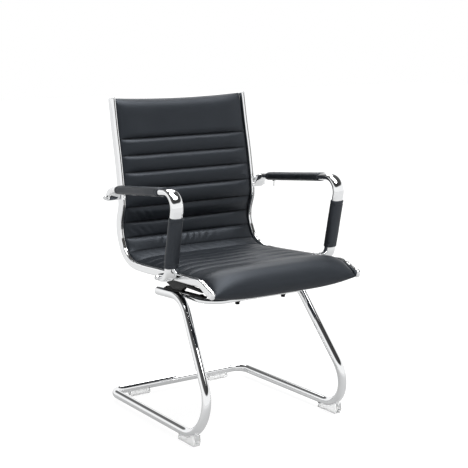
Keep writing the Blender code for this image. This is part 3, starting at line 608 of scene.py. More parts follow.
def grained_leather(name, base, worn, grain_mm, smoothest, roughest, gloss_level, painted_seam_shade):
    """Split leather, pigmented and pressed: a soft cool sheen, and painted shade that darkens its
    seams.
    """
    finish, tree, shader, place = new_finish(
        name, IOR=1.47, Specular_IOR_Level=gloss_level, Specular_Tint=COOL_SHEEN,
    )
    cells = add_node(tree, "ShaderNodeTexVoronoi", {
        "Vector": place, "Scale": per_mm(grain_mm), "Randomness": 0.9,
    }, feature="DISTANCE_TO_EDGE")
    pores = add_node(tree, "ShaderNodeTexNoise", {
        "Vector": place, "Scale": per_mm(grain_mm / 3), "Detail": 2.0,
    })
    patches = add_node(tree, "ShaderNodeTexNoise", {
        "Vector": place, "Scale": per_mm(70), "Detail": 4.0,
    })
    colour = add_node(tree, "ShaderNodeMix", {
        "Factor": patches.outputs["Fac"], "A": srgb(base), "B": srgb(worn),
    }, data_type="RGBA")
    gloss = add_node(tree, "ShaderNodeMapRange", {
        "Value": patches.outputs["Fac"], "From Min": 0.3, "From Max": 0.7,
        "To Min": smoothest, "To Max": roughest,
    })
    colour_out, gloss_out = colour.outputs["Result"], gloss.outputs["Result"]
    if painted_seam_shade:
        # painted shade: deep in the seams the colour darkens to near black, where shade falls; the
        # leather there is also rougher
        seam = add_node(tree, "ShaderNodeAttribute", attribute_name="seam").outputs["Fac"]
        colour_out = add_node(tree, "ShaderNodeMix", {
            "Factor": seam, "A": colour_out, "B": srgb("#08090a"),
        }, data_type="RGBA").outputs["Result"]
        gloss_out = add_node(tree, "ShaderNodeMapRange", {
            "Value": seam, "To Min": gloss_out, "To Max": 0.7,
        }).outputs["Result"]
    grain = add_node(tree, "ShaderNodeMath", {
        0: cells.outputs["Distance"], 1: 0.25,
    }, operation="MINIMUM")
    height = add_node(tree, "ShaderNodeMath", {
        0: pores.outputs["Fac"], 1: 0.25, 2: grain.outputs["Value"],
    }, operation="MULTIPLY_ADD")
    bump = add_node(tree, "ShaderNodeBump", {
        "Height": height.outputs["Value"], "Distance": 0.25 * MM, "Strength": 0.35,
    })
    set_inputs(tree, shader, {
        "Base Color": colour_out, "Roughness": gloss_out, "Normal": bump.outputs["Normal"],
    })
    return finish


def gritty_coat(name, colour, lighter, grit_mm, roughness, spread, **sockets):
    """Powder coat, moulded skin or thread: a fine even grit that breaks up the shine.

    The real grit, 0.1 to 0.3 mm, is too fine to show and is drawn coarser.
    """
    finish, tree, shader, place = new_finish(name, **sockets)
    grit = add_node(tree, "ShaderNodeTexNoise", {
        "Vector": place, "Scale": per_mm(grit_mm), "Detail": 2.0,
    })
    patches = add_node(tree, "ShaderNodeTexNoise", {
        "Vector": place, "Scale": per_mm(25), "Detail": 2.0,
    })
    tint = add_node(tree, "ShaderNodeMix", {
        "Factor": patches.outputs["Fac"], "A": srgb(colour), "B": srgb(lighter),
    }, data_type="RGBA")
    gloss = add_node(tree, "ShaderNodeMapRange", {
        "Value": grit.outputs["Fac"], "To Min": roughness, "To Max": roughness + spread,
    })
    bump = add_node(tree, "ShaderNodeBump", {
        "Height": grit.outputs["Fac"], "Distance": 0.15 * MM, "Strength": 0.4,
    })
    set_inputs(tree, shader, {
        "Base Color": tint.outputs["Result"], "Roughness": gloss.outputs["Result"],
        "Normal": bump.outputs["Normal"],
    })
    return finish


def milky_plastic(name):
    """Natural polyethylene, moulded: waxy, lets light in and scatters it."""
    finish, tree, shader, place = new_finish(
        name, Transmission_Weight=0.75, Subsurface_Weight=0.3, Subsurface_Scale=4 * MM,
        Subsurface_Radius=(1.0, 1.0, 1.0), IOR=1.4,
    )
    haze = add_node(tree, "ShaderNodeTexNoise", {
        "Vector": place, "Scale": per_mm(12), "Detail": 2.0,
    })
    tint = add_node(tree, "ShaderNodeMix", {
        "Factor": haze.outputs["Fac"], "A": srgb("#fafbfb"), "B": srgb("#fdfdfd"),
    }, data_type="RGBA")
    gloss = add_node(tree, "ShaderNodeMapRange", {
        "Value": haze.outputs["Fac"], "To Min": 0.2, "To Max": 0.3,
    })
    set_inputs(tree, shader, {
        "Base Color": tint.outputs["Result"], "Roughness": gloss.outputs["Result"],
    })
    return finish


# Steel tube and bar, buffed and plated: a clear mirror with faint smears
tube_chrome = polished_chrome("bright_chrome_on_steel", 0.03, 0.03, 60, 0.04 * MM)
# Zinc castings under the same plate: a softer mirror with the casting's short waves
cast_chrome = polished_chrome("bright_chrome_on_zinc_casting", 0.06, 0.05, 12, 0.03 * MM)
# The hide of the sling, with painted shade in its seams. Its grain of about 1 mm is too fine to
# show and is drawn at 1.8 mm.
sling_leather = grained_leather(
    "blue_black_split_leather", "#181b1f", "#1f2226", 1.8, 0.43, 0.50, 0.36, True,
)
# Thinner leather of the sleeves, with a tighter grain that is also drawn coarser, at 1.3 mm
sleeve_leather = grained_leather(
    "charcoal_sleeve_leather", "#1b1d20", "#23262a", 1.3, 0.40, 0.50, 0.52, False,
)
# Powder baked on steel: deep black with hardly any shine
black_coat = gritty_coat(
    "black_powder_coat", "#070708", "#0d0d0e", 0.8, 0.4, 0.2, Specular_IOR_Level=0.12,
)
# Moulded plugs: black with the satin skin of a spark eroded mould
black_moulding = gritty_coat("black_polypropylene", "#101011", "#171718", 0.6, 0.45, 0.2)
# Twisted thread: dull black, its strands drawn as a grit
black_thread = gritty_coat("black_polyester_thread", "#0c0d0f", "#1d1f22", 0.5, 0.6, 0.2)
# Extruded strip in the rails' grooves: warm near-black, dull
strip_rubber = gritty_coat("brown_black_rubber", "#2c2723", "#38322d", 0.8, 0.5, 0.2)
# Moulded glides, left uncoloured: milky, so the white floor shines through
glide_plastic = milky_plastic("natural_polyethylene")


# Lines that several pieces share
def rail_line():
    """The rail's centreline in its own side plane, from the top end to the tip."""
    rise = RAIL_TOP - RAIL_LOW
    points = [
        Vector((RAIL_TIP_Y + RAIL_REACH * back, RAIL_LOW + rise * up)) for back, up in RAIL_SHARES
    ]
    return Line(smooth(points, 10))


def rail_depth_at(distance):
    """The rail is deep up the back and slimmer along the seat."""
    blend = ease((distance / rail.length - NARROW_START) / (NARROW_END - NARROW_START))
    return RAIL_BACK_DEPTH + (RAIL_SEAT_DEPTH - RAIL_BACK_DEPTH) * blend


def rail_x(y):
    """How far a rail's centreline is from the middle plane, at a place in depth."""
    return RAIL_HALF_SPACING - y * math.tan(RAIL_TOE)


def inner_half_width(y):
    """Half the clear width between the rails' inner faces, at a place in depth."""
    return rail_x(y) - (RAIL_WIDTH / 2 + GAP) / math.cos(RAIL_TOE)


def rail_underside(y):
    """Height of the rail's lower face above the floor, along the seat."""
    for start, end, mark in zip(rail.points, rail.points[1:], rail.marks):
        if end.x <= y:
            break
    return start.lerp(end, (start.x - y) / (start.x - end.x)).y - rail_depth_at(mark) / 2


def bar_level(y):
    """Height of the side bars' underside at a place in depth."""
    _, end_y, end_z = TUBE_CORNERS[-1]
    return end_z + (y - end_y) * RUN_SLOPE + TUBE / 2 + GAP


def arm_line():
    """The arm tube's centreline: along the rest, round the bend and down to the seat."""
    corners = [Vector((0, *ARM_REAR)), Vector((0, *ARM_BEND_POINT)), Vector((0, *ARM_FOOT))]
    bend = rounded_path(corners, (ARM_BEND,), 32)
    return Line([Vector((point.y, point.z)) for point in bend])


def between(first, last, step):
    """Even places from one distance to another, ends included."""
    count = max(round((last - first) / step), 1)
    return [first + (last - first) * place / count for place in range(count + 1)]


rail = rail_line()
arm = arm_line()
SLING_LENGTH = rail.length - NOSE_SETBACK
RIB_PITCH = (SLING_LENGTH - TOP_PANEL - FRONT_PANEL) / RIBS
REST_SPAN = (TOP_SLEEVE_START, TOP_SLEEVE)
POST_SPAN = (arm.length - FRONT_SLEEVE, arm.length)


# Leather sling
def sling_rows():
    """Places along the sling: distance, rib number, share of the rib, fullness of the end."""
    rows = []
    for full, before in quarter_round(14, TOP_POWER):
        rows.append((TOP_ROUND * (1 - before), -1, 0.5, full))
    shoulder = (0.75, 0.5, 0.32, 0.2, 0.12, 0.06, 0.02)
    for place in between(TOP_ROUND, TOP_PANEL - SEAM_SHOULDER, 4 * MM)[1:]:
        rows.append((place, -1, 0.5, 1.0))
    for back in shoulder:
        rows.append((TOP_PANEL - SEAM_SHOULDER * back, -1, 1 - back / 2, 1.0))
    half_rib = (0.0, 0.01, 0.03, 0.06, 0.11, 0.17, 0.24, 0.32, 0.41)
    shares = (*half_rib, 0.5, *(1 - share for share in reversed(half_rib[1:])))
    for rib in range(RIBS):
        for share in shares:
            rows.append((TOP_PANEL + (rib + share) * RIB_PITCH, rib, share, 1.0))
    seam = SLING_LENGTH - FRONT_PANEL
    rows.append((seam, RIBS, 0.0, 1.0))
    for ahead in reversed(shoulder):
        rows.append((seam + SEAM_SHOULDER * ahead, RIBS, ahead / 2, 1.0))
    nose_start = SLING_LENGTH - NOSE_ROUND
    for place in between(seam + SEAM_SHOULDER, nose_start, 4 * MM):
        rows.append((place, RIBS, 0.5, 1.0))
    for ahead, full in quarter_round(16, NOSE_POWER)[1:]:
        rows.append((nose_start + NOSE_ROUND * ahead, RIBS, 0.5, full))
    return rows


def wander(*place):
    """Smooth noise at a place, about -1 to 1."""
    return noise.noise(Vector(place))


def fold_height(x, distance, rib, share, across):
    """Puckers, folds and slack of the leather, in metres above its smooth shape.

    The factors of x and distance inside wander are waves per metre. In a phase, the factor
    of distance sets how far the folds slant.
    """
    from_seam = min(share, 1 - share)
    seam = rib + round(share)
    slack = BEND_SLACK if rib in BEND_RIBS else SLACK
    height = wander(x * 62, seam * 3.7, 0.3) + 0.5 * wander(x * 140, seam * 5.1, 2.0)
    height *= slack * math.exp(-from_seam * 5)
    drift = wander(x * 9, distance * 9, 7.0) * DRIFT
    drift += wander(x * 26, distance * 20, 4.0) * FINE_DRIFT
    height += drift * min(1, from_seam * 4)
    arch = math.sin(math.pi * share)
    if rib == PUCKER_RIB:
        # puckers where the back turns into the seat, strongest in the middle
        phase = (x + distance * 0.55) / PUCKER_PITCH + 0.6 * wander(x * 14, 1.0, 0.0)
        height += PUCKER * math.sin(math.tau * phase) * arch * ease((0.14 - abs(x + 0.02)) / 0.10)
    if rib in RIPPLE_RIBS:
        phase = (x - distance * 0.8) / RIPPLE_PITCH + 0.8 * wander(x * 11, rib, 5.0)
        height += RIPPLE * math.sin(math.tau * phase) * arch
    if rib in SIDE_FOLD_RIBS and x < 0:
        # slanting folds beside the left rail only
        side = ease((-x - 0.105) / 0.06) * SIDE_FOLD_RIBS[rib]
        phase = (-x * 0.8 + distance * 0.6) / SIDE_FOLD_PITCH
        height += SIDE_FOLD * math.sin(math.tau * phase) * side * arch
    return height * (1 - across ** 6)


def seat_share(distance):
    """0 up the back, 1 on the seat."""
    return ease((distance / rail.length - NARROW_START) / NARROW_START)


def sling_sizes(distance):
    """Crown, belly, its power, depth of the ribs, and levels of the edge at a distance."""
    seat = seat_share(distance)
    nose = ease((distance - rail.length + NOSE_FILL) / (NOSE_FILL * NOSE_FILL_SHARE))
    crown = BACK_CROWN + (SEAT_CROWN - BACK_CROWN) * seat
    belly = BACK_BELLY + (SEAT_BELLY - BACK_BELLY) * seat + (NOSE_BELLY - SEAT_BELLY) * nose
    rib_depth = BACK_RIB_DEPTH + (SEAT_RIB_DEPTH - BACK_RIB_DEPTH) * seat
    top = EDGE_LEVEL + EDGE_THICKNESS / 2
    foot = EDGE_LEVEL - EDGE_THICKNESS / 2 - NOSE_EDGE_DROP * nose
    power = BELLY_POWER + (NOSE_BELLY_POWER - BELLY_POWER) * nose
    return crown, belly, power, rib_depth, top, foot


def rib_height(distance, share):
    """Height of a rib, 0 to 1: fullest under its upper seam on the back, even on the seat."""
    if share < RIB_PEAK:
        sagging = 1 - (1 - share / RIB_PEAK) ** 2
    else:
        sagging = 1 - ((share - RIB_PEAK) / (1 - RIB_PEAK)) ** RIB_SAG
    even = max(math.sin(math.pi * share), 0) ** EVEN_RIB_POWER
    return sagging + (even - sagging) * seat_share(distance)


def upper_level(x, distance, rib, share):
    """Height of the sitter's side above the rail's centreline, and how deep in a seam it is."""
    crown, _, _, rib_depth, top, _ = sling_sizes(distance)
    half = inner_half_width(rail.at(distance)[0].x)
    height = rib_height(distance, share)
    seam_depth = math.exp(-((min(share, 1 - share) / SEAM_SHARE) ** 2))
    edge = 1 - abs(x / half) ** CROWN_POWER
    edge -= EDGE_TUCK / crown * math.exp(-((half - abs(x)) / EDGE_TUCK_REACH) ** 2)
    level = top + (crown - rib_depth * (1 - height) - SEAM_DENT * seam_depth) * edge
    before_nose = (distance - rail.length + NOSE_BULGE_BACK) / NOSE_BULGE_REACH
    level += NOSE_BULGE * math.exp(-before_nose ** 2) * (1 - abs(x / half) ** 3)
    return level + fold_height(x, distance, rib, share, abs(x) / half), seam_depth


def sling_ring(distance, rib, share, full):
    """Points of one ring round the sling, and how deep in a seam each of them is."""
    point, direction, normal = rail.at(distance)
    crown, belly, power, _, top, foot = sling_sizes(distance)
    middle = (top + crown + foot - belly) / 2
    dip = TOP_DIP * max(1 - distance / TOP_PANEL, 0) ** 2
    half = inner_half_width(point.x)
    flat = half - EDGE_ROLL
    # columns lie closer together near the rails, where the leather turns down
    spread = []
    for column in range(UPPER_COLUMNS + 1):
        t = column / UPPER_COLUMNS * 2 - 1
        spread.append((0.6 * t + 0.4 * math.sin(t * math.pi / 2)) * flat)
    ring = []
    for x in spread:
        level, seam_depth = upper_level(x, distance, rib, share)
        ring.append((x, level, seam_depth))
    rolls = [math.pi * step / ROLL_STEPS for step in range(1, ROLL_STEPS)]
    tucked = top - EDGE_TUCK
    for turn in rolls:
        level = (tucked + foot) / 2 + (tucked - foot) / 2 * math.cos(turn)
        ring.append((flat + EDGE_ROLL * math.sin(turn), level, 0.0))
    for x in reversed(spread):
        level = foot - belly * (1 - abs(x / half) ** power)
        level += REAR_SEAM_DENT * seam_depth * (1 - abs(x / half) ** 4)
        # the third value is how much painted shade a seam gets; the underside gets less
        ring.append((x, level, seam_depth * 0.6))
    for turn in rolls:
        level = (tucked + foot) / 2 - (tucked - foot) / 2 * math.cos(turn)
        ring.append((-flat - EDGE_ROLL * math.sin(turn), level, 0.0))
    upper_full = full
    if rib < 0:
        # the top edge lies towards the rear, so the front rolls over it
        middle -= (middle - foot + belly) * TOP_SET_BACK * max(1 - distance / TOP_ROUND, 0)
    if rib == RIBS:
        past = max(distance - (SLING_LENGTH - NOSE_TOP_ROUND), 0.0) / NOSE_TOP_ROUND
        upper_full = math.sqrt(max(1 - past * past, 0.0))
    points, seams = [], []
    for x, level, seam in ring:
        level = middle + (level - middle) * (upper_full if level > middle else full)
        place = point + normal * level + direction * (dip * (1 - (x / half) ** 2))
        points.append(Vector((x * inner_half_width(place.x) / half, place.x, place.y)))
        seams.append(seam)
    return points, seams


def build_sling():
    """The padded sling: one closed skin with its seams marked for the leather's painted seam shade.
    """
    rings, seams = zip(*(sling_ring(*row) for row in sling_rows()))
    bm = bent_grid(rings, capped=False, seams=seams)
    sling = add_piece(
        "leather_sling_cover", bm, sling_leather, ["leather_sling"], math.radians(80),
    )


def add_stitches(bm, points):
    """Lay one stitch of thread from each point to the next, with a gap between stitches."""
    for start, end in zip(points, points[1:]):
        along = end - start
        turn = along.to_track_quat("X", "Z").to_matrix().to_4x4()
        size = Matrix.Diagonal((along.length * 0.36, THREAD, THREAD, 1))
        place = Matrix.Translation(start.lerp(end, 0.5)) @ turn @ size
        bmesh.ops.create_icosphere(bm, subdivisions=1, radius=1, matrix=place)


def build_seam_stitches():
    """Rows of stitches that hold the channels down, in the bottom of each seam."""
    bm = bmesh.new()
    for seam in range(RIBS + 1):
        distance = TOP_PANEL + seam * RIB_PITCH
        point, _, normal = rail.at(distance)
        reach = inner_half_width(point.x) - STITCH_MARGIN
        count = round(2 * reach / STITCH_PITCH)
        points = []
        for step in range(count + 1):
            x = -reach + 2 * reach * step / count
            level, _ = upper_level(x, distance, min(seam, RIBS - 1), float(seam == RIBS))
            place = point + normal * (level + THREAD / 3)
            points.append(Vector((x, place.x, place.y)))
        add_stitches(bm, points)
    add_piece("seam_stitches", bm, black_thread)


# Rails
def rail_section(distance):
    """Rounded bar with a groove in its front face beside the leather."""
    top = rail_depth_at(distance) / 2
    steps = 6
    outline = rounded_section(RAIL_WIDTH, top * 2, RAIL_CORNER, steps)
    half = GROOVE_WIDTH / 2
    wall = [
        (half + GROOVE_LIP, top), (half + GROOVE_LIP / 3, top - GROOVE_LIP / 3),
        (half, top - GROOVE_LIP), (half, top - GROOVE_DEPTH),
    ]
    groove = [(GROOVE_OFFSET + across, level) for across, level in wall]
    groove += [(GROOVE_OFFSET - across, level) for across, level in reversed(wall)]
    return outline[:steps + 1] + groove + outline[steps + 1:]


def make_rail():
    """One side rail, from under its top cap to its front cap."""
    first = TOP_CAP_THICKNESS + GAP
    last = rail.length - FRONT_CAP_LENGTH - GAP
    places = between(first, last, 5 * MM)
    return bent_grid([side_ring(rail, place, rail_section(place)) for place in places])


def make_groove_strip():
    """Dull strip in the bottom of the rail's groove, up to a little before the front cap."""
    first = TOP_CAP_THICKNESS + STRIP_TOP_MARGIN
    last = rail.length - FRONT_CAP_LENGTH - STRIP_NOSE_MARGIN
    section = rounded_section(GROOVE_WIDTH - GAP, STRIP_THICKNESS, GAP, 2)
    rings = []
    for place in between(first, last, 5 * MM):
        level = rail_depth_at(place) / 2 - GROOVE_DEPTH + STRIP_THICKNESS / 2
        point, _, normal = rail.at(place)
        rings.append(ring_at(point + normal * level, normal, section, GROOVE_OFFSET))
    return bent_grid(rings)


def make_front_cap():
    """Drop-shaped cast end of the rail, rounded towards its tip."""
    first = rail.length - FRONT_CAP_LENGTH
    depth = rail_depth_at(first)
    rings = []
    for step in range(13):
        share = step / 12
        past = max(share - FRONT_CAP_STRAIGHT, 0.0) / FRONT_CAP_ROUND
        full = math.sqrt(max(1 - past ** 2, 0.0))
        swell = FRONT_CAP_SWELL * ease(share * 8)
        section = rounded_section(
            RAIL_WIDTH * full, (depth + swell) * full, RAIL_CORNER * full, 6,
        )
        rings.append(side_ring(rail, first + FRONT_CAP_LENGTH * share, section))
    return bent_grid(rings)


def make_top_cap():
    """Flat cap on the rail's upper end with eased edges."""
    rings = []
    for place, inset in (*TOP_CAP_EDGE, (TOP_CAP_THICKNESS, 0.0)):
        section = rounded_section(
            RAIL_WIDTH - 2 * inset, rail_depth_at(0) - 2 * inset, RAIL_CORNER - inset, 6,
        )
        rings.append(side_ring(rail, place, section))
    return bent_grid(rings)


def make_groove_ferrule():
    """Oval ferrule sunk in the rail's groove, round the end of the arm's fixing."""
    height = ARM_REAR[1] - REAR_FOOT[2]
    distance = 0.0
    while rail.at(distance)[0].y > height:
        distance += MM
    point, direction, normal = rail.at(distance)
    depth = rail_depth_at(distance) / 2
    wide, tall = FERRULE
    rings = []
    for share, level in FERRULE_RIM:
        ring = []
        for step in range(32):
            angle = math.tau * step / 32
            across = GROOVE_OFFSET + wide * share * math.cos(angle)
            along = direction * (tall * share * math.sin(angle))
            place = point + along + normal * (depth + level * MM)
            ring.append(Vector((across, place.x, place.y)))
        rings.append(ring)
    return bent_grid(rings)


# Arms
def arm_section(growth=0.0):
    """The arm tube's outline, grown by a distance on every side."""
    return oval_section(ARM_WIDTH + 2 * growth, ARM_THICKNESS + 2 * growth, OVAL_POWER)


def make_arm_tube():
    """Flat oval tube from the rear foot, round the bend, to the front foot."""
    places = between(0, arm.marks[1], 12 * MM) + arm.marks[2:-1]
    places += between(arm.marks[-2], arm.length, 12 * MM)[1:]
    return bent_grid([side_ring(arm, place, arm_section(), ARM_OFFSET) for place in places])


def make_sleeve(first, last, seed):
    """Leather sleeve with rolled ends, a stitched hem band at each end and slight slack."""
    edge = [step * SLEEVE_EDGE / 8 for step in range(8)]
    places = [first + step for step in edge]
    places += between(first + SLEEVE_EDGE, last - SLEEVE_EDGE, 1.2 * MM)
    places += [last - step for step in reversed(edge)]
    rings = []
    for place in places:
        from_end = min(place - first, last - place)
        rolled = 1 - min(from_end / SLEEVE_ROLL, 1)
        wall = SLEEVE_WALL * math.sqrt(max(1 - rolled ** 2, 0.02))
        wall -= HEM_DENT * math.exp(-((from_end - HEM) / HEM_DENT_REACH) ** 2)
        # the leather lies tight at its hems and wavers between them
        slack = ease((from_end - HEM - 3 * MM) / (20 * MM))
        centre = arm.at(place)[0]
        middle = Vector((ARM_OFFSET, centre.x, centre.y))
        ring = side_ring(arm, place, arm_section(GAP + wall), ARM_OFFSET)
        for point in ring:
            out = (point - middle).normalized()
            wave = wander(point.x * 30, point.y * 22, point.z * 22 + seed)
            point += out * (wave * SLEEVE_WAVE * slack)
        rings.append(ring)
    rings.append(side_ring(arm, last, arm_section(GAP), ARM_OFFSET))
    rings.append(side_ring(arm, first, arm_section(GAP), ARM_OFFSET))
    rings.append(rings[0])
    return bent_grid(rings, capped=False)


def make_hem_stitches():
    """Stitches round both hems of both sleeves of one arm."""
    bm = bmesh.new()
    section = arm_section(GAP + SLEEVE_WALL + THREAD / 4)
    for first, last in (REST_SPAN, POST_SPAN):
        for place in (first + HEM + HEM_STITCHES, last - HEM - HEM_STITCHES):
            outline = side_ring(arm, place, section, ARM_OFFSET)
            add_stitches(bm, outline[::2] + outline[:1])
    return bm


def sleeve_underside(y):
    """Point on the centre line of the top sleeve's underside, at a place in depth."""
    (rear_y, rear_z), (bend_y, bend_z) = ARM_REAR, ARM_BEND_POINT
    level = rear_z + (y - rear_y) * (bend_z - rear_z) / (bend_y - rear_y)
    return Vector((ARM_OFFSET, y, level - ARM_THICKNESS / 2 - GAP - SLEEVE_WALL))


def make_zip():
    """Two rows of zip teeth along the underside of the top sleeve."""
    bm = bmesh.new()
    for step in range(ZIP_TEETH):
        seat = sleeve_underside(ZIP_PULL_Y - step * ZIP_PITCH)
        for side in (-1, 1):
            shift = Vector((side * 0.9 * MM, side * 0.5 * MM, 0.1 * MM))
            add_box(bm, seat + shift, ZIP_TOOTH)
    return bm


def make_zip_pull():
    """Zip slider with a wire ring and a flat tab that hang from it."""
    slider = bmesh.new()
    add_box(slider, (0, 0, -ZIP_SLIDER[2] / 2), ZIP_SLIDER)
    softened(slider, 0.9 * MM, 3)
    ring = moved(wire_ring(*ZIP_RING), Matrix.Translation((0, 0, -ZIP_RING_DROP)))
    tab = bmesh.new()
    add_box(tab, (0, 0, -ZIP_TAB_DROP), ZIP_TAB)
    softened(tab, 0.5 * MM)
    seat = sleeve_underside(ZIP_PULL_Y) + Vector((0, 0, -GAP))
    return moved(joined([slider, ring, tab]), Matrix.Translation(seat))


def make_foot(shape, end):
    """Cast foot: flows on from the arm tube and turns to a boss on the rail's outer face."""
    shares, run, drop, reach_start = shape
    start, direction = end
    curve = [Vector((start.x + run * back, start.y - drop * down)) for back, down in shares]
    line = Line(smooth(curve, 8))
    places = between(0, line.length, 1.6 * MM)
    places += [line.length + FOOT_NOSE * ahead for ahead, _ in quarter_round(10)[1:]]
    tube_inner = ARM_OFFSET - ARM_WIDTH / 2
    tube_outer = ARM_OFFSET + ARM_WIDTH / 2
    rings = []
    for place in places:
        blend = ease(place / line.length / 0.8)
        beyond = max(place - line.length, 0) / FOOT_NOSE
        reach = min(blend, ease((place / line.length - reach_start) / 0.5))
        inner = tube_inner + (RAIL_WIDTH / 2 + GAP - tube_inner) * reach
        outer = tube_outer + (FOOT_END_OUTER - tube_outer) * blend
        half = ARM_THICKNESS / 2 + (FOOT_END_HALF - ARM_THICKNESS / 2) * blend
        half *= math.sqrt(max(1 - (beyond * 0.99) ** 2, 0))
        power = OVAL_POWER + (FOOT_POWER - OVAL_POWER) * blend
        section = oval_section(outer - inner, half * 2, power)
        if rings:
            rings.append(side_ring(line, place, section, (inner + outer) / 2))
        else:
            rings.append(ring_at(start, outward(direction), section, (inner + outer) / 2))
    return bent_grid(rings)


def arm_end(distance, way):
    """Point just past an end of the arm tube, and the direction in which the tube ends."""
    point, direction, _ = arm.at(distance + way * GAP)
    return point, direction * way


def make_screw_head(radius, height, socket):
    """Domed screw head, its key socket drawn round, standing on z = 0."""
    rim = socket + 0.6 * MM
    floor = height * 0.45
    profile = [(0, floor), (socket, floor), (socket, height - 0.4 * MM), (rim, height)]
    for out, up in quarter_round(8)[1:]:
        profile.append((rim + (radius - rim) * out, height * (0.2 + 0.8 * up)))
    return turned([*profile, (radius, 0), (0, 0)])


def make_arm_screw(shape, end):
    """Screw head against the outer end of a foot's boss."""
    _, run, drop, _ = shape
    start, _ = end
    sideways = Matrix.Rotation(math.pi / 2, 4, "Y")
    place = Matrix.Translation((FOOT_END_OUTER + GAP, start.x + run, start.y - drop))
    return moved(make_screw_head(*ARM_SCREW), place @ sideways)


# Base
def both_sides(right):
    """A path from its right half: the left half, mirrored and reversed, comes first."""
    return [Vector((-point.x, point.y, point.z)) for point in reversed(right)] + right


def tube_path():
    """The base tube's centreline, from the left upper end round to the right one."""
    corners = both_sides([Vector(corner) for corner in TUBE_CORNERS])
    return rounded_path(corners, (*TUBE_RADII, *reversed(TUBE_RADII)), 28)


def make_base_tube():
    """One bent tube: both upper runs, legs and runners, and the bar behind."""
    path = tube_path()
    outer = rounded_section(TUBE, TUBE, TUBE / 2, 10)
    inner = rounded_section(TUBE - 2 * TUBE_WALL, TUBE - 2 * TUBE_WALL, TUBE / 2 - TUBE_WALL, 10)
    skin = swept_rings(path, outer)
    bore = swept_rings(path, inner)
    depth = TUBE_BORE / (path[1] - path[0]).length
    deep_start = [near.lerp(far, depth) for near, far in zip(bore[0], bore[1])]
    deep_end = [near.lerp(far, depth) for near, far in zip(bore[-1], bore[-2])]
    return bent_grid([deep_start, bore[0], *skin, bore[-1], deep_end])


def make_tube_plug():
    """Moulded plug with a low domed head and a stem inside the tube."""
    path = tube_path()
    head = TUBE / 2
    stem = head - TUBE_WALL - 0.5 * MM
    profile = [(0, PLUG_HEAD)]
    for out, up in quarter_round(6)[1:]:
        profile.append((head * (0.75 + 0.25 * out), GAP + (PLUG_HEAD - GAP) * up))
    profile += [(stem, GAP), (stem, -PLUG_STEM), (0, -PLUG_STEM)]
    turn = (path[-1] - path[-2]).to_track_quat("Z", "Y").to_matrix().to_4x4()
    return moved(turned(profile), Matrix.Translation(path[-1]) @ turn)


def make_bow():
    """Flat steel bow: forwards from beside one tube, across under the seat and back."""
    side_x = UPPER_RUN_X - (TUBE + BOW_WIDTH) / 2 - GAP
    corners = [Vector((side_x, y, BOW_Z)) for y in (BOW_Y, BOW_Y + BOW_SIDE_LENGTH)]
    path = rounded_path(both_sides(corners), (BOW_BEND, BOW_BEND), 28)
    section = rounded_section(BOW_WIDTH, BOW_HEIGHT, BOW_CORNER, 7)
    return softened(bent_grid(swept_rings(path, section)), 0.6 * MM)


def make_weld():
    """Weld bead between the bow's end and the tube, plated over."""
    bm = bmesh.new()
    place = Matrix.Translation((UPPER_RUN_X - (TUBE + GAP) / 2, WELD_Y, BOW_Z + WELD_LIFT))
    size = Matrix.Diagonal((*WELD_SIZE, 1))
    bmesh.ops.create_icosphere(bm, subdivisions=4, radius=1, matrix=place @ size)
    for vert in bm.verts:
        vert.co.z += WELD_RIPPLE * math.sin(vert.co.y / (1.5 * MM))
    return bm


def make_hex_bolt():
    """Hexagon bolt with a washer flange, from under the bow."""
    radius, height = BOLT_HEAD
    head = bmesh.new()
    bmesh.ops.create_cone(
        head, cap_ends=True, segments=6, radius1=radius, radius2=radius, depth=height,
        matrix=Matrix.Translation((0, 0, BOLT_HEAD_TOP - height / 2)),
    )
    softened(head, 0.7 * MM)
    parts = [head]
    for profile in (BOLT_FLANGE, BOLT_SHANK):
        parts.append(turned([(out * MM, up * MM) for out, up in profile]))
    underside = BOW_Z - BOW_HEIGHT / 2 - GAP
    return moved(joined(parts), Matrix.Translation((BOLT_X, BOW_Y, underside)))


# Steel under the seat
def cross_strip(size, y, corner, level, slope=0.0):
    """Straight strip that crosses under the seat, with its middle at a level."""
    length, width, thickness = size
    section = rounded_section(width, thickness, corner, 4)
    rings = []
    for x in (-length / 2, length / 2):
        rings.append([
            Vector((x, y + across, level + slope * across + up)) for across, up in section
        ])
    return softened(bent_grid(rings), 0.5 * MM, angle=math.radians(60))


def make_cross_plate():
    """Strip on top of the bow's middle."""
    level = BOW_Z + (BOW_HEIGHT + PLATE[2]) / 2 + GAP
    return cross_strip(PLATE, BOW_Y, 1.3 * MM, level)


def make_rear_bar():
    """Bar across both side bars, behind the seat brackets."""
    level = bar_level(REAR_BAR_Y) + SIDE_BAR_THICKNESS + GAP + REAR_BAR[2] / 2
    return cross_strip(REAR_BAR, REAR_BAR_Y, 2 * MM, level, RUN_SLOPE)


def make_side_bar():
    """Flat bar with round ends on the tube's upper run."""
    radius = SIDE_BAR_WIDTH / 2
    rear = SIDE_BAR_REAR_Y - radius
    front = SIDE_BAR_REAR_Y - SIDE_BAR_LENGTH + radius
    outline = []
    for centre, start in ((rear, 0), (front, math.pi)):
        for step in range(17):
            angle = start + math.pi * step / 16
            outline.append((radius * math.cos(angle), centre + radius * math.sin(angle)))
    rings = []
    for lift in (0.0, SIDE_BAR_THICKNESS):
        rings.append([Vector((UPPER_RUN_X + x, y, bar_level(y) + lift)) for x, y in outline])
    return softened(bent_grid(rings), 0.5 * MM, angle=math.radians(60))


def bracket_ring(y, foot_x, foot_y, foot_half, foot):
    """Four corners of a bracket: two under the rail and two at its foot."""
    top = rail_underside(y) - BRACKET_GAP
    return [
        Vector((rail_x(y) + BRACKET_HALF, y, top)), Vector((rail_x(y) - BRACKET_HALF, y, top)),
        Vector((foot_x - foot_half, foot_y, foot)), Vector((foot_x + foot_half, foot_y, foot)),
    ]


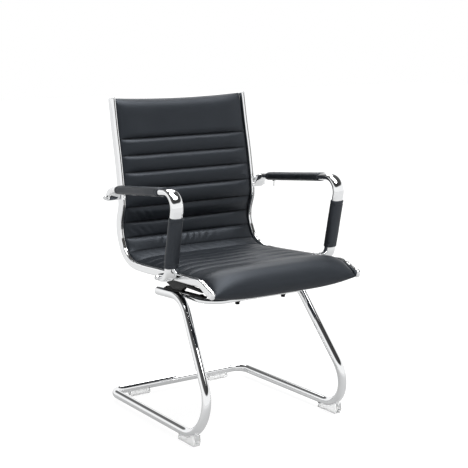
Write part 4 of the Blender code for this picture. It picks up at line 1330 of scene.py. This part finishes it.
def make_bracket():
    """Pressed wedge between side bar and rail; its flange runs on forwards under the rail."""
    wedge = []
    for step in range(13):
        rail_y, bar_y = (
            first + (last - first) * step / 12
            for first, last in (BRACKET_RAIL_Y, BRACKET_BAR_Y)
        )
        foot = bar_level(bar_y) + SIDE_BAR_THICKNESS + GAP
        wedge.append(bracket_ring(rail_y, UPPER_RUN_X, bar_y, BRACKET_FOOT_HALF, foot))
    start = BRACKET_RAIL_Y[1]
    flange = []
    for y in (start - BRACKET_GAP, FLANGE_END_Y):
        depth = FLANGE_DEPTH * (1 - FLANGE_TAPER * (y - start) / (FLANGE_END_Y - start))
        foot = rail_underside(y) - BRACKET_GAP - depth
        flange.append(bracket_ring(y, rail_x(y), y, BRACKET_HALF, foot))
    bm = joined([bent_grid(wedge), bent_grid(flange)])
    return softened(bm, 1.2 * MM, 3, math.radians(40))


def make_bar_screw(y):
    """Screw head on the side bar at a place in depth."""
    level = bar_level(y) + SIDE_BAR_THICKNESS + GAP
    tilt = Matrix.Rotation(math.atan(RUN_SLOPE), 4, "X")
    place = Matrix.Translation((UPPER_RUN_X, y, level))
    return moved(make_screw_head(*BAR_SCREW), place @ tilt)


def dress_nodes():
    """Give the glides, the only CAD nodes that stay, their real finish."""
    for name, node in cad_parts.items():
        if "glide" in name:
            node.data.materials.clear()
            node.data.materials.append(glide_plastic)


# Studio
def build_floor():
    """White paper floor that keeps the chair's shadow and glows to the eye and in chrome; in chrome
    its glow is painted dimmer near the chair, a painted shadow.
    """
    bm = bmesh.new()
    bmesh.ops.create_grid(bm, x_segments=1, y_segments=1, size=FLOOR_HALF)
    mesh = bpy.data.meshes.new("studio_floor")
    bm.to_mesh(mesh)
    bm.free()
    floor = bpy.data.objects.new("studio_floor", mesh)
    bpy.context.scene.collection.objects.link(floor)
    paper = bpy.data.materials.new("white_studio_paper")
    paper.use_nodes = True
    tree = paper.node_tree
    tree.nodes.clear()
    path = add_node(tree, "ShaderNodeLightPath")
    seen = add_node(tree, "ShaderNodeMath", {
        0: path.outputs["Is Camera Ray"], 1: path.outputs["Is Transmission Ray"],
    }, operation="MAXIMUM")
    seen = add_node(tree, "ShaderNodeMath", {
        0: path.outputs["Is Glossy Ray"], 1: seen.outputs["Value"],
    }, operation="MAXIMUM")
    mirrored = add_node(tree, "ShaderNodeMath", {
        0: path.outputs["Is Glossy Ray"], 1: path.outputs["Is Transmission Ray"],
    }, operation="SUBTRACT", use_clamp=True)
    place = add_node(tree, "ShaderNodeTexCoord").outputs["Object"]
    away = add_node(tree, "ShaderNodeVectorMath", {0: place}, operation="LENGTH")
    # painted shadow: in chrome the floor glows dimmer near the chair, where its shadow falls
    gloss = add_node(tree, "ShaderNodeMapRange", {
        "Value": away.outputs["Value"], "From Min": PAINTED_SHADOW_REACH[0], "From Max": PAINTED_SHADOW_REACH[1],
        "To Min": GLOSS_GLOW_WITH_PAINTED_SHADOW[0], "To Max": GLOSS_GLOW_WITH_PAINTED_SHADOW[1],
    }, interpolation_type="SMOOTHSTEP")
    strength = add_node(tree, "ShaderNodeMapRange", {
        "Value": mirrored.outputs["Value"], "To Min": FLOOR_GLOW, "To Max": gloss.outputs["Result"],
    })
    diffuse = add_node(tree, "ShaderNodeBsdfDiffuse", {"Color": srgb("#e8e8e8")})
    faint = add_node(tree, "ShaderNodeBsdfDiffuse", {"Color": srgb("#6a6a6a")})
    glow = add_node(tree, "ShaderNodeEmission", {
        "Color": (1, 1, 1, 1), "Strength": strength.outputs["Result"],
    })
    bright = add_node(tree, "ShaderNodeAddShader", {
        0: faint.outputs["BSDF"], 1: glow.outputs["Emission"],
    })
    mix = add_node(tree, "ShaderNodeMixShader", {
        0: seen.outputs["Value"], 1: diffuse.outputs["BSDF"], 2: bright.outputs["Shader"],
    })
    add_node(tree, "ShaderNodeOutputMaterial", {"Surface": mix.outputs["Shader"]})
    mesh.materials.append(paper)


def build_room():
    """White cove all round, a dim ceiling and three softboxes; the eye sees plain white."""
    world = bpy.data.worlds.new("studio")
    bpy.context.scene.world = world
    world.use_nodes = True
    tree = world.node_tree
    tree.nodes.clear()
    path = add_node(tree, "ShaderNodeLightPath")
    way = add_node(tree, "ShaderNodeTexCoord").outputs["Generated"]
    height = add_node(tree, "ShaderNodeSeparateXYZ", {0: way}).outputs["Z"]
    cove = add_node(tree, "ShaderNodeMapRange", {
        "Value": height, "From Min": COVE_TOP[0], "From Max": COVE_TOP[1],
        "To Min": 1.0, "To Max": 0.0,
    }, interpolation_type="SMOOTHSTEP")
    sideways = add_node(tree, "ShaderNodeVectorMath", {
        0: way, 1: BRIGHT_SIDE,
    }, operation="DOT_PRODUCT")
    ceiling = add_node(tree, "ShaderNodeMapRange", {
        "Value": sideways.outputs["Value"], "From Min": -1.0, "From Max": 1.0,
        "To Min": CEILING[0], "To Max": CEILING[1],
    })
    walls = add_node(tree, "ShaderNodeMix", {
        "Factor": cove.outputs["Result"], "A": ceiling.outputs["Result"], "B": COVE,
    }, data_type="FLOAT")
    light = walls.outputs["Result"]
    for direction, spread, strength in SOFTBOXES:
        facing = add_node(tree, "ShaderNodeVectorMath", {
            0: way, 1: Vector(direction).normalized(),
        }, operation="DOT_PRODUCT")
        # from 15 % outside its rim to 15 % inside
        edge = math.radians(spread)
        softbox = add_node(tree, "ShaderNodeMapRange", {
            "Value": facing.outputs["Value"], "From Min": math.cos(edge * 1.15),
            "From Max": math.cos(edge * 0.85), "To Min": 0.0, "To Max": strength,
        }, interpolation_type="SMOOTHSTEP")
        light = add_node(tree, "ShaderNodeMath", {
            0: light, 1: softbox.outputs["Result"],
        }, operation="ADD").outputs["Value"]
    room = add_node(tree, "ShaderNodeBackground", {"Color": (1, 1, 1, 1), "Strength": light})
    white = add_node(tree, "ShaderNodeBackground", {"Color": (1, 1, 1, 1), "Strength": 1.0})
    seen = add_node(tree, "ShaderNodeMath", {
        0: path.outputs["Is Camera Ray"], 1: path.outputs["Is Transmission Ray"],
    }, operation="MAXIMUM")
    mix = add_node(tree, "ShaderNodeMixShader", {
        0: seen.outputs["Value"], 1: room.outputs["Background"], 2: white.outputs["Background"],
    })
    add_node(tree, "ShaderNodeOutputWorld", {"Surface": mix.outputs["Shader"]})
    bpy.context.scene.view_settings.view_transform = "Standard"


def build_camera():
    """Camera at the photograph's viewing angle."""
    lens = bpy.data.cameras.new("photograph")
    lens.sensor_width = 36
    lens.lens = PHOTO_FOCAL * lens.sensor_width / PHOTO_WIDTH
    camera = bpy.data.objects.new("photograph", lens)
    bpy.context.scene.collection.objects.link(camera)
    camera.location = CAMERA_PLACE
    angles = (90 - CAMERA_DOWN, CAMERA_ROLL, CAMERA_TURN)
    camera.rotation_euler = [math.radians(angle) for angle in angles]
    bpy.context.scene.camera = camera


# The scene
build_floor()
build_room()
build_camera()
build_sling()
build_seam_stitches()
add_pair("grooved_rail", make_rail, tube_chrome, ["side_rail"])
add_pair("rail_nose", make_front_cap, cast_chrome, ["rail_front_cap"])
add_pair("rail_head", make_top_cap, cast_chrome, ["rail_top_cap"])
add_pair("groove_strip", make_groove_strip, strip_rubber)
add_pair("groove_ferrule", make_groove_ferrule, cast_chrome)
add_pair("oval_arm_tube", make_arm_tube, tube_chrome, ["arm_tube"])
sleeves = add_pair(
    "rest_sleeve", make_sleeve, sleeve_leather, ["arm_top_sleeve"],
    sizes=(*REST_SPAN, 1.0),
)
sleeves += add_pair(
    "post_sleeve", make_sleeve, sleeve_leather, ["arm_front_sleeve"],
    sizes=(*POST_SPAN, 5.0),
)
add_pair("hem_stitches", make_hem_stitches, black_thread)
add_pair("rest_zip", make_zip, cast_chrome)
add_pair("zip_pull_tab", make_zip_pull, cast_chrome, ["zip_pull"])
for place, shape, end in (
    ("rear", REAR_FOOT, arm_end(0, -1)), ("front", FRONT_FOOT, arm_end(arm.length, 1)),
):
    add_pair(
        f"{place}_arm_foot", make_foot, cast_chrome, [f"arm_{place}_foot"],
        sizes=(shape, end),
    )
    add_pair(
        f"{place}_foot_screw", make_arm_screw, tube_chrome, [f"arm_{place}_screw"],
        sizes=(shape, end),
    )
add_piece("runner_tube", make_base_tube(), tube_chrome, ["base_tube"])
add_piece("front_bow", make_bow(), tube_chrome, ["front_stretcher"])
add_piece("bow_cross_plate", make_cross_plate(), black_coat, ["front_cross_plate"])
add_piece("rear_flat_bar", make_rear_bar(), black_coat, ["rear_cross_bar"])
add_pair("tube_end_plug", make_tube_plug, black_moulding, ["tube_plug"], STRAIGHT)
add_pair("bow_weld", make_weld, tube_chrome, (), STRAIGHT)
add_pair("bow_bolt", make_hex_bolt, black_coat, ["stretcher_bolt"], STRAIGHT)
add_pair("side_flat_bar", make_side_bar, black_coat, ["side_bar"], STRAIGHT)
add_pair("under_rail_bracket", make_bracket, black_coat, ["seat_bracket"], STRAIGHT)
for place, y in BAR_SCREW_Y.items():
    add_pair(
        f"bar_{place}_screw", make_bar_screw, black_coat,
        [f"side_bar_{place}_bolt"], STRAIGHT, (y,),
    )
dress_nodes()
